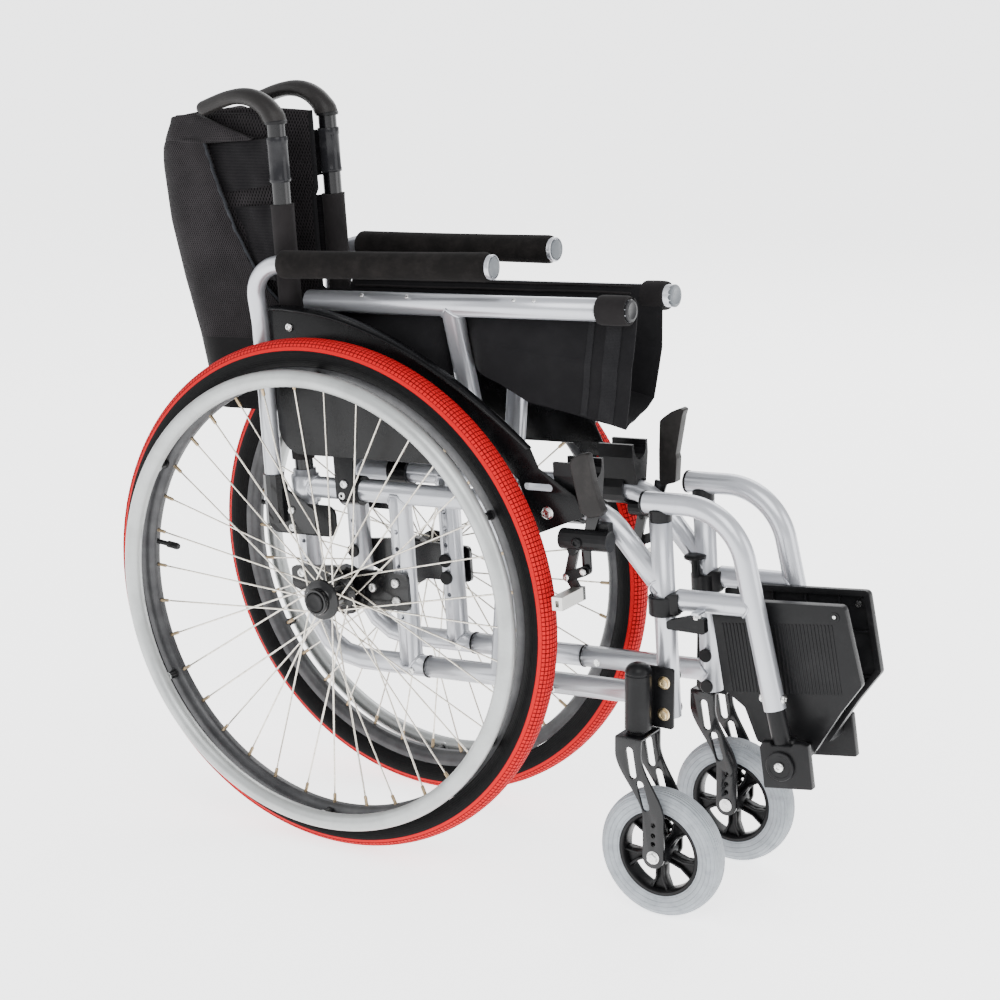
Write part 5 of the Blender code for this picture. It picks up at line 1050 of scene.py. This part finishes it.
def make_guards():
    """Guard panel with a wide lip over the wheel, its frame clamp, straps and screws."""
    arch = []
    first, middle, last = Vector((-0.0475, 0.3335)), Vector((0.1031, 0.2968)), Vector((0.2671, 0.1845))
    for t in spread(0.0, 1.0, 24):
        low, high, end = 2 * (t - 0.5) * (t - 1.0), 4 * t * (1.0 - t), 2 * t * (t - 0.5)
        arch.append(tuple(first * low + middle * high + last * end))
    curve = [(-0.0775, 0.332), (-0.07, 0.3332), *arch]
    rear = arc(0.03, -math.pi / 2, -math.pi, 8, (-0.0475, 0.189))
    outline = [*curve, (0.2762, 0.1633), (0.3217, 0.1346), (0.3312, 0.112), (0.2704, 0.088), (0.248, 0.15),
               (0.238, 0.159), *rear]
    panel = plate(outline, -0.0728, -0.0702)
    carved(panel, plate(slot((0.26, 0.1416), (0.289, 0.1416), 0.004), -0.08, -0.065))
    eased(panel, 0.0007, 2, 50.0)
    lip = []
    for k, (x, z) in enumerate(curve):
        wide = 0.016 * min(1.0, 0.35 + k / 5, 1.4 - k / len(curve))
        lip.append((Vector((x, 0.0, z)), Vector((x, 0.0, z)).normalized(), wide))

    def where(s, t):
        spot = s * (len(lip) - 1)
        k = min(int(spot), len(lip) - 2)
        (start, out, first_wide), (end, _, last_wide) = lip[k], lip[k + 1]
        point = start.lerp(end, spot - k) - out * (0.0035 * t ** 3 - 0.0012)
        point.y = -0.0705 - (first_wide + (last_wide - first_wide) * (spot - k)) * t
        return point, (s * 0.4, t * 0.016)

    edge = sheet_grid(72, 6, where, wall=0.0026)
    eased(edge, 0.0009, 3, 50.0)
    clamp = spun([(0.0131, -0.0135), (0.0168, -0.0135), (0.0175, -0.0128), (0.0175, 0.0128),
                  (0.0168, 0.0135), (0.0131, 0.0135)], (0.0085, -FRAME_Y, UPPER_Z), 36, AHEAD)
    strap = plate(rounded(rectangle(-0.005, 0.108, 0.022, 0.175), 0.003), -0.0702, -0.0656)
    spacers = []
    for length, x, z in ((0.0062, -0.057, 0.3106), (0.0032, 0.302, UPPER_Z)):
        spacers.append(turned([(0.0, 0.0055), (length, 0.0055)], (x, -0.0715, z), LEFT, 20))
    pair(joined(panel, edge, clamp, eased(strap, 0.0008), *spacers), "guard", GUARD, "frame", "side_guard",
         angle=40.0)
    screws = [(-0.05, -0.0728, 0.3106, 0.005), (0.0085, -0.0702, 0.127, 0.0052)]
    bolts("guard_screws", ZINC, "frame", screws)
    bolts("guard_bolt", ZINC, "frame", [(0.285, -0.0728, 0.113, 0.006)], hex_head=True)


# Wheel locks

def make_brakes():
    """Wheel lock: rubber grip on its lever, the stem below, and rivets."""
    y = -0.079
    outline = [(0.334, 0.12), (0.3449, 0.114), (0.36, 0.1175), (0.3633, 0.1225), (0.3569, 0.1379),
               (0.3524, 0.1546), (0.3493, 0.1762), (0.3474, 0.185), (0.344, 0.1866), (0.3364, 0.1848),
               (0.327, 0.18), (0.3238, 0.1735), (0.3275, 0.1529)]
    far_outline = [(0.347, 0.1235), (0.35, 0.115), (0.368, 0.12), (0.3709, 0.1474), (0.37, 0.1526),
                   (0.3754, 0.1761), (0.3804, 0.1975), (0.3833, 0.2047), (0.3789, 0.2066), (0.367, 0.2022),
                   (0.3568, 0.1954), (0.3516, 0.1907), (0.3487, 0.1567)]
    for side, shape, middle in (("right", outline, y), ("left", far_outline, -y)):
        grip = eased(plate(rounded(shape, 0.002, 3), middle - 0.0062, middle + 0.0062), 0.0042, 5, 50.0)
        dress(grip, f"{side}_brake_grip", GRIP, f"{side}_brake_lever", f"{side}_brake_lever", angle=50.0)
    stem_x, stem_z, outer, inner = 0.3348, 0.0535, -0.079, -0.075
    stem = plate([(0.33, 0.079), (0.3396, 0.0785), (0.356, 0.119), (0.34, 0.121)], outer, inner)
    foot = plate(slot((stem_x, stem_z), (stem_x, 0.079), 0.0056), outer, inner)
    pin = turned([(0.0, 0.0026), (0.0105, 0.0026)], (stem_x, -0.076, stem_z), RIGHT, 16)
    pair(joined(eased(stem, 0.0005), eased(foot, 0.0005), pin), "brake_stem", BLACK, "brake_lever")
    bolts("brake_rivets", ZINC, "brake_shoe", [(0.3112, -0.0835, 0.0446, 0.0038)])
    bolts("brake_lever_rivet", ZINC, "brake_lever", [(stem_x, -0.0868, stem_z, 0.0038)])
    bolts("brake_screw", PLASTIC, "frame", [(0.331, -0.0905, 0.087, 0.0062)])


# Hangers and footrests

def make_hangers():
    """Footrest hanger: bent tube, cross tube, the plastics that hold them, and fasteners."""
    y, top = -FRAME_Y, HANGER_BEND.z
    loop = swept(fillet([Vector((0.3965, y, top)), HANGER_BEND, HANGER_FOOT], 0.07, 20), 0.0122, 28)
    share = (top - HANGER_CROSS_Z) / (top - HANGER_FOOT.z)
    end = HANGER_BEND.lerp(HANGER_FOOT, share)
    cross = swept([Vector((0.434, y, HANGER_CROSS_Z)), end], 0.012, 28)
    bead = weld(end, (-1, 0, 0), HANGER_FOOT - HANGER_BEND, 0.012, 0.0122)
    tab = eased(plate(rectangle(0.46, 0.0125, 0.469, 0.016), -0.0752, y), 0.0005)
    pair(joined(loop, cross, bead, tab), "hanger", SILVER, "hanger", "hanger_tube")
    plug = turned([(0.0852, 0.008), (0.086, 0.009), (0.1084, 0.009), (0.1085, 0.0122), (0.1092, 0.0127),
                   (0.1215, 0.0127), (0.123, 0.011)], FRONT, UP, 32)
    washer = turned([(0.0, 0.0118), (0.0006, 0.0127), (0.003, 0.0127), (0.0036, 0.0118)], (0.3948, y, top),
                    AHEAD, 32)
    bore = spun([(0.0132, 0.0035), (0.0172, 0.0035), (0.0184, 0.005), (0.0184, 0.024), (0.0172, 0.0255),
                 (0.0132, 0.0255)], FRONT, 36, UP)
    cuff = rounded([(0.422, 0.0075), (0.438, 0.0075), (0.438, 0.03), (0.427, 0.03), (0.422, 0.0262)], 0.002)
    block = carved(plate(cuff, y - 0.0132, y + 0.0132),
                   turned([(-0.002, 0.0132), (0.04, 0.0132)], FRONT, UP, 32))
    lower = turned([(0.0, 0.0026), (0.017, 0.0026)], (0.4645, -0.07, -0.0035), UP, 16)
    pair(joined(plug, washer, bore, eased(block, 0.0012), lower), "hanger_plastics", PLASTIC, "hanger")
    screws = [turned([(0.0, 0.0052), (0.0016, 0.0052), (0.003, 0.0044), (0.0034, 0.0024), (0.0022, 0.0022)],
                     (0.5419 + side * 0.0116, y, -0.079), (side, 0.0, 0.0), 18) for side in (-1.0, 1.0)]
    pair(joined(*screws), "hanger_screws", ZINC, "hanger")
    knob = turned([(0.0, 0.005), (0.021, 0.005), (0.022, 0.0125), (0.0245, 0.013), (0.0262, 0.011),
                   (0.0268, 0.006)], (0.41, -y - 0.017, 0.023), UP, 28)
    dress(knob, "left_release_knob", PLASTIC, "left_frame")
    head = turned([(0.008, 0.0052), (0.0112, 0.0052), (0.0128, 0.0042), (0.0134, 0.0022), (0.0124, 0.002)],
                  (*LATCH, 0.0), UP, 20)
    pair(head, "latch_screw", ZINC, "hanger_latch")


FOOT_HINGE = (-0.045, 0.0085)


def make_footrests():
    """Extension tube with the block, knuckle and disc that carry the footplate."""
    ahead = (HANGER_FOOT - HANGER_BEND).normalized()
    bar = swept([HANGER_FOOT + ahead * 0.0003, HANGER_FOOT + ahead * 0.043], 0.0103, 24)
    settle(bar, CHASSIS)
    block = plate(rounded([(-0.02875, -0.026), (0.02875, -0.026), (0.02875, 0.0235), (0.0215, 0.026),
                           (0.012, 0.026), (0.01, 0.0225), (-0.014, 0.0225), (-0.016, 0.0265),
                           (-0.025, 0.0265), (-0.02875, 0.02)], 0.0016, 3), -0.0625, -0.0525)
    knuckle = plate(rounded(rectangle(-0.0163, 0.0025, 0.0057, 0.026), 0.002), -0.0527, -0.0385)
    pin = turned([(0.0, 0.0035), (0.0466, 0.0035)], (-0.0286, *FOOT_HINGE), AHEAD, 20)
    disc = turned([(0.0, 0.0165), (0.0036, 0.0165), (0.0046, 0.0156), (0.0046, 0.0128), (0.004, 0.012),
                   (0.004, 0.005)], (-0.0053, -0.062, 0.0), RIGHT, 48)
    rest = joined(eased(block, 0.0014, 3), eased(knuckle, 0.001), pin, disc)
    settle(rest, FOOT)
    pair(joined(bar, rest), "footrest_slide", FOOT_PLASTIC, "hanger", "footrest_extension", space=HERE)
    bolts("footrest_screw", ZINC, "hanger", [(-0.0053, -0.0662, 0.0, 0.0056)], space=FOOT)
    make_footplate()


def make_footplate():
    """Footplate with a ribbed tread on one face and a rimmed recess on the other."""
    corners = [(-0.05, 0.0118), (0.0155, 0.0), (0.0553, 0.0495), (0.0844, 0.0808), (0.0768, 0.1705),
               (-0.082, 0.177), (-0.082, 0.0726), (-0.0594, 0.0523)]
    drawn([(x, -0.025, z) for x, z in rounded(corners, 0.006, 4)])
    push((0.0, 0.0088, 0.0))
    bpy.ops.mesh.inset(thickness=0.0065, depth=0.0)
    push((0.0, -0.0052, 0.0))
    panel = eased(closed_up(), 0.0012, 3, 30.0)
    made = [panel]
    rib = eased(plate(rectangle(-0.001, 0.0, 0.001, 0.08), -0.0258, -0.0245), 0.0005)
    for k in range(32):
        copy = copied(rib)
        copy.location += Vector((-0.071 + 0.0042 * k, 0.0, 0.07))
        made.append(copy)
    bpy.data.objects.remove(rib)
    half = 0.0009
    webs = [rectangle(x - half, low, x + half, high)
            for x, low, high in ((-0.04, 0.02, 0.17), (0.0, 0.008, 0.168), (0.04, 0.04, 0.166))]
    webs += [rectangle(-0.076, z - half, 0.074, z + half) for z in (0.075, 0.125)]
    made += [plate(web, -0.0216, -0.018) for web in webs]
    made.append(turned([(0.0, 0.005), (0.001, 0.0048), (0.001, 0.003), (-0.0008, 0.0026)],
                       (0.065, -0.025, 0.159), RIGHT, 24))
    hinge = Vector((0.0, *FOOT_HINGE))
    tilt = Matrix.Rotation(math.radians(4.0), 4, "X")
    lean = Matrix.Translation(hinge) @ tilt @ Matrix.Translation(-hinge)
    panel = joined(*reversed(made))
    settle(panel, lean)
    lugs = []
    for side in (-1.0, 1.0):
        x = -0.0053 + side * 0.012
        eye = arc(0.006, math.pi / 2, 3 * math.pi / 2, 10, FOOT_HINGE)
        points = [*eye, (-0.0205, 0.0025), (-0.0205, 0.022), (-0.025, 0.022), (-0.025, 0.0145)]
        drawn([(x, a, b) for a, b in points])
        push((side * 0.011, 0.0, 0.0))
        lugs.append(eased(closed_up(), 0.0007))
    pair(joined(panel, *lugs), "foot_panel", FOOT_PLASTIC, "footplate", "footplate", space=FOOT)
    screws = [(0.064, -0.0252, 0.159, 0.0022), (0.064, -0.016, 0.156, -0.0036)]
    bolts("foot_panel_screws", ZINC, "footplate", screws, space=FOOT @ lean)


# Seat sling

LEG_SLOPE = 2 * FRAME_Y / (RAIL_Z - LOWER_Z)
SLING_FOOT = [(-0.03, 0.212), (0.06, 0.219), (0.11, 0.233), (0.15, 0.258), (0.1816, 0.2667), (0.22, 0.253),
              (0.2574, 0.233), (0.3412, 0.2169), (0.3786, 0.208)]


def sling_wall(leg_x, lift=0.0, far=0.0):
    """Where a wall of the folded sling is: over the rail's inner side, then down inside the leg."""

    def where(s, t):
        rear, top_front, low_front = -0.03 - 0.0065 * far, 0.392 - 0.01 * far, 0.379 - 0.022 * far
        wrap = 0.22
        if t < wrap:
            turn = math.radians(30.0 + 90.0 * t / wrap)
            radius = TUBE_R + 0.002 + lift
            u = rear + (top_front - rear) * s
            y = -FRAME_Y + radius * math.sin(turn)
            w = RAIL_Z + radius * math.cos(turn)
            length = radius * math.radians(90.0) * t / wrap
        else:
            drop = (t - wrap) / (1 - wrap)
            front = top_front + (low_front - top_front) * drop + 0.004 * (1 - far) * math.sin(math.pi * drop)
            u = rear + (front - rear) * s
            top_w = RAIL_Z - 0.0075
            w = top_w + (level(u, SLING_FOOT) + 0.008 * far - top_w) * drop
            y = -0.0378 + (-0.0525 + 0.0378) * min(1.0, drop * 2.2) - lift
            length = 0.025 + (top_w - w)
        away = math.exp(-((u - leg_x) / 0.022) ** 2)
        leg = -FRAME_Y + LEG_SLOPE * (RAIL_Z - w) + TUBE_R + 0.003
        if t >= wrap and leg > y:
            y += (leg - y) * away
        fold = wrinkle(u * 16.0, w * 9.0, leg_x * 40.0, 0.003) * max(0.0, t - wrap)
        return Vector((u, y + fold, w)), (u, length)

    return where


def make_sling():
    """Folded seat sling: two walls with their bands, loops and rail ends, and the base between them."""
    for side, leg_x, brace in (("right", 0.162, "brace_b"), ("left", 0.195, "brace_a")):
        far = float(side == "left")
        end = 0.3905 - 0.008 * far
        wall = sheet_grid(96, 44, sling_wall(leg_x, 0.0, far), wall=0.0018)
        loop = spun([(0.0131, 0.3545), (0.0156, 0.3545), (0.0164, 0.357), (0.0166, 0.37),
                     (0.0162, end - 0.0025), (0.0154, end), (0.0131, end)], RAIL, 40, AHEAD)
        bands = []
        for low, high in ((0.862, 0.88), (0.915, 0.96)):
            outer = sling_wall(leg_x, 0.0016, far)
            bands.append(sheet_grid(6, 40, lambda s, t: outer(low + (high - low) * s, 0.27 + 0.72 * t),
                                    wall=0.001))
        cap = turned([(0.388, 0.0122), (0.3905, 0.0127), (0.392, 0.0127), (0.3932, 0.0118), (0.3936, 0.009),
                      (0.3932, 0.0084)], RAIL, AHEAD, 32)
        rivets = [turned([(0.0, 0.0026), (0.001, 0.0023), (0.0015, 0.0012)],
                         (x, -FRAME_Y - 0.0085, RAIL_Z + 0.0094), (0.0, -0.9, 1.0), 14)
                  for x in (0.046, 0.108, 0.25, 0.276)]
        bead = weld((leg_x, -FRAME_Y, RAIL_Z), (0.0, LEG_SLOPE, -1.0), AHEAD, TUBE_R, TUBE_R)
        welts = []
        for turn in (math.radians(46.0), math.radians(74.0)):
            y, z = -FRAME_Y + 0.0162 * math.sin(turn), RAIL_Z + 0.0162 * math.cos(turn)
            welts.append(swept([Vector((-0.029 + 0.0415 * k, y, z + 0.0004 * math.sin(k * 1.9)))
                                for k in range(10)], 0.0013, 8))
        if side == "left":
            for piece in (wall, loop, *bands, cap, *rivets, bead, *welts):
                mirrored(piece)
        flap = f"{side}_seat_flap"
        cloth = dress(wall, f"{side}_sling_wall", NYLON, flap, flap, angle=60.0)
        dress(loop, f"{side}_sling_loop", HEM, flap)
        dress(joined(*bands), f"{side}_sling_bands", TAPE, flap, angle=60.0)
        dress(cap, f"{side}_rail_cap", CAP_BLACK if side == "right" else CAP_GREY, brace)
        dress(joined(*rivets), f"{side}_rail_rivets", ZINC, brace)
        dress(joined(*welts), f"{side}_sling_welts", HEM, flap)
        dress(bead, f"{side}_leg_weld", SILVER, brace)
    near, far = sling_wall(0.162), sling_wall(0.195, 0.0, 1.0)

    def where(s, t):
        a, spot = near(s, 1.0)
        b, _ = far(s, 1.0)
        b.y = -b.y
        point = a.lerp(b, t)
        belly = 4 * t * (1 - t)
        point.z += 0.0012 - 0.0075 * belly * (0.4 + 0.6 * abs(2 * s - 1))
        point.z += wrinkle(point.x * 18.0, point.y * 30.0, 3.0, 0.0035)
        point.x -= 0.006 * belly * s ** 6
        return point, (spot[0], t * 0.12)

    base = sheet_grid(96, 24, where, wall=0.0018)
    dress(base, "sling_base", NYLON, "seat_centre", "seat_centre", angle=60.0)


# Back upholstery

APEX = [(0.205, -0.213), (0.2537, -0.2222), (0.2938, -0.228), (0.3594, -0.2442), (0.4295, -0.256),
        (0.4922, -0.26), (0.5176, -0.26), (0.5462, -0.254)]
EDGE = [(0.205, -0.077), (0.33, -0.077), (0.35, -0.098), (0.3789, -0.118), (0.4192, -0.1391),
        (0.4776, -0.161), (0.5236, -0.1742)]


def back_row(w, inset, front):
    """Length along a level row of the back, and where a length along it from the fold is."""
    apex = level(w, APEX)
    radius = FRAME_Y - inset
    quarter = radius * math.pi / 2
    total = quarter + max(front - (apex + FRAME_Y), 0.0)

    def spot(length):
        if length < quarter:
            turn = length / radius
            return apex + FRAME_Y - radius * math.cos(turn), -radius * math.sin(turn)
        return apex + FRAME_Y + length - quarter, -radius
    return total, spot


def make_back():
    """Half of the back: mesh cover, lining, hem sleeve on the post, straps and bindings."""
    rows = spread(0.205, 0.523, 40) + spread(0.5254, 0.5549, 8)
    count = len(rows) - 1

    def cover(s, t):
        w = rows[round(t * count)]
        front = level(w, EDGE) if w < 0.524 else -0.1006 - (w - 0.5252) / 0.0297 * 0.0828
        total, spot = back_row(w, 0.0045, front)
        u, y = spot(total * s)
        high = max(w - 0.49, 0.0) / 0.0649
        u += 0.03 * high ** 2 * math.exp(-total * s / 0.034)
        crown = w - 0.019 * high ** 2 * math.exp(-(total * s / 0.04) ** 2)
        rise = math.exp(-((1 - s) * total / 0.012) ** 2) * 0.0016
        ripple = wrinkle(u * 18.0, w * 9.0, 7.0, 0.0034)
        return Vector((u, min(y, -0.0002) + rise + ripple * min(1.0, s * 4), crown)), (total * s, w)

    skin = sheet_grid(40, count, cover, wall=0.0075)
    eased(skin, 0.0026, 3, 60.0)
    for piece in pair(skin, "back_cover", MESH, "back_panel", "back_panel", angle=60.0):
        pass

    def inner_front(w):
        return -0.079 if w < 0.45 else -0.0745

    def inner(s, t):
        w = 0.215 + (0.55 - 0.215) * t
        total, spot = back_row(w, 0.0165, inner_front(w))
        u, y = spot(total * s)
        top = w + 0.0045 * math.sin(math.pi * s) * t ** 4
        ripple = wrinkle(u * 15.0, w * 10.0, 2.0, 0.002) * min(1.0, 4 * s, 4 * (1 - s))
        return Vector((u, min(y, -0.0002) + ripple, top)), (total * s, w)

    lining = sheet_grid(40, 60, inner, wall=0.005)
    eased(lining, 0.0018, 2, 60.0)
    for piece in pair(lining, "back_lining", WIDE_MESH, "back_panel", angle=60.0):
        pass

    rim = [Vector((inner_front(w), -0.0338, w)) for w in spread(0.216, 0.55, 40)]
    pair(swept(rim, 0.003, 10), "back_piping", NYLON, "back_panel", angle=60.0)

    hem_top = 0.4504

    def hem(s, t):
        w = 0.15 + (hem_top - 0.15) * t
        turn = 2 * math.pi * s
        swell = wrinkle(math.cos(turn) * 1.5, math.sin(turn) * 1.5, w * 18.0, 0.00045)
        lip = 0.0005 * math.exp(-((hem_top - w) / 0.004) ** 2)
        radius = 0.0135 + (swell if 0.002 < t < 0.998 else 0.0) + lip
        return (Vector((POST_X + radius * math.cos(turn), -FRAME_Y + radius * math.sin(turn), w)),
                (s * 0.085, w))

    sleeve = sheet_grid(36, 60, hem, closed=True)
    carved(sleeve, turned([(0.148, 0.0112), (0.452, 0.0112)], POST, UP, 36))
    pair(sleeve, "post_hem", HEM, "back_panel", angle=50.0)

    straps = []
    for corners, front_y in ((((-0.164, 0.46), (-0.074, 0.4725), (-0.074, 0.5262), (-0.174, 0.5179)), -0.05),
                             (((-0.12, 0.36), (-0.074, 0.36), (-0.074, 0.4495), (-0.145, 0.4441)), -0.049)):
        a, b, c, d = [Vector((x, 0.0, z)) for x, z in corners]

        def strap(s, t, a=a, b=b, c=c, d=d, front_y=front_y):
            point = a.lerp(b, s).lerp(d.lerp(c, s), t)
            point.y = -0.035 + (front_y + 0.035) * s + wrinkle(s * 3, t * 2, 5.0, 0.0055)
            return point, (s * 0.09, point.z)

        straps.append(eased(sheet_grid(20, 14, strap, wall=0.0022), 0.0006, 2, 60.0))
    pair(joined(*straps), "back_straps", WEBBING, "back_panel", angle=60.0)
    line, shares = [], []
    for k, w in enumerate(spread(0.332, 0.5228, 40)):
        line.append(Vector((level(w, EDGE) + 0.0004, -0.0458 + 0.0004 * math.sin(k * 1.3), w)))
        shares.append(1.0 + 0.1 * math.sin(k * 2.1))
    pair(swept(line, 0.002, 10, shares), "back_edge", LINING, "back_panel", angle=60.0)


# Camera, studio light and floor

def place_camera():
    """Camera where the photograph was taken: to the chair's right, ahead of it and a little above."""
    data = bpy.data.cameras.new("camera")
    data.sensor_width = 36.0
    data.lens = 89.84
    data.clip_end = 50.0
    camera = bpy.data.objects.new("camera", data)
    bpy.context.scene.collection.objects.link(camera)
    right = Vector((0.84915, 0.52807, -0.0093))
    up = Vector((-0.13113, 0.22785, 0.96482))
    back = Vector((0.51161, -0.81806, 0.26273))
    turn = Matrix((right, up, back)).transposed().to_4x4()
    camera.matrix_world = Matrix.Translation((AXLE_X + 1.64273, -2.35502, 1.17581)) @ turn
    bpy.context.scene.camera = camera


def soft_light(name, place, aim, size, power):
    """Large square lamp that points at a place."""
    data = bpy.data.lights.new(name, "AREA")
    data.shape = "SQUARE"
    data.size = size
    data.energy = power
    lamp = bpy.data.objects.new(name, data)
    lamp.location = place
    lamp.rotation_euler = (Vector(aim) - Vector(place)).to_track_quat("-Z", "Y").to_euler()
    bpy.context.scene.collection.objects.link(lamp)


def studio():
    """Pale floor and soft light from above, the side and behind the camera."""
    fresh()
    bpy.ops.mesh.primitive_plane_add(size=60.0, location=(0.0, 0.0, 0.0))
    floor = bpy.context.object
    floor.name = "floor"
    paper = Finish("paper floor", roughness=0.9, Specular_IOR_Level=0.0,
                   Emission_Color=(1.0, 1.0, 1.0, 1.0), Emission_Strength=2.2)
    paper.put(Base_Color=paper.mix(paper.noise(3.0, 2.0), (0.93, 0.93, 0.93), (0.95, 0.95, 0.95)))
    floor.data.materials.append(paper.material)
    middle = (0.0, 0.0, 0.4)
    soft_light("key", (1.6, -2.2, 2.8), middle, 2.2, 72.0)
    soft_light("fill", (-2.6, -1.6, 1.6), middle, 2.5, 32.0)
    soft_light("front", (2.8, 0.6, 1.3), (0.1, 0.0, 0.4), 1.8, 34.0)
    soft_light("back", (-0.5, 2.8, 2.4), middle, 2.4, 60.0)
    world = bpy.data.worlds.new("studio")
    bpy.context.scene.world = world
    world.use_nodes = True
    sky = world.node_tree.nodes["Background"]
    sky.inputs["Color"].default_value = (0.97, 0.98, 1.0, 1.0)
    sky.inputs["Strength"].default_value = 1.15


make_wheels()
make_casters()
make_frame()
make_grips()
make_armrests()
make_guards()
make_brakes()
make_hangers()
make_footrests()
make_sling()
make_back()
place_camera()
studio()
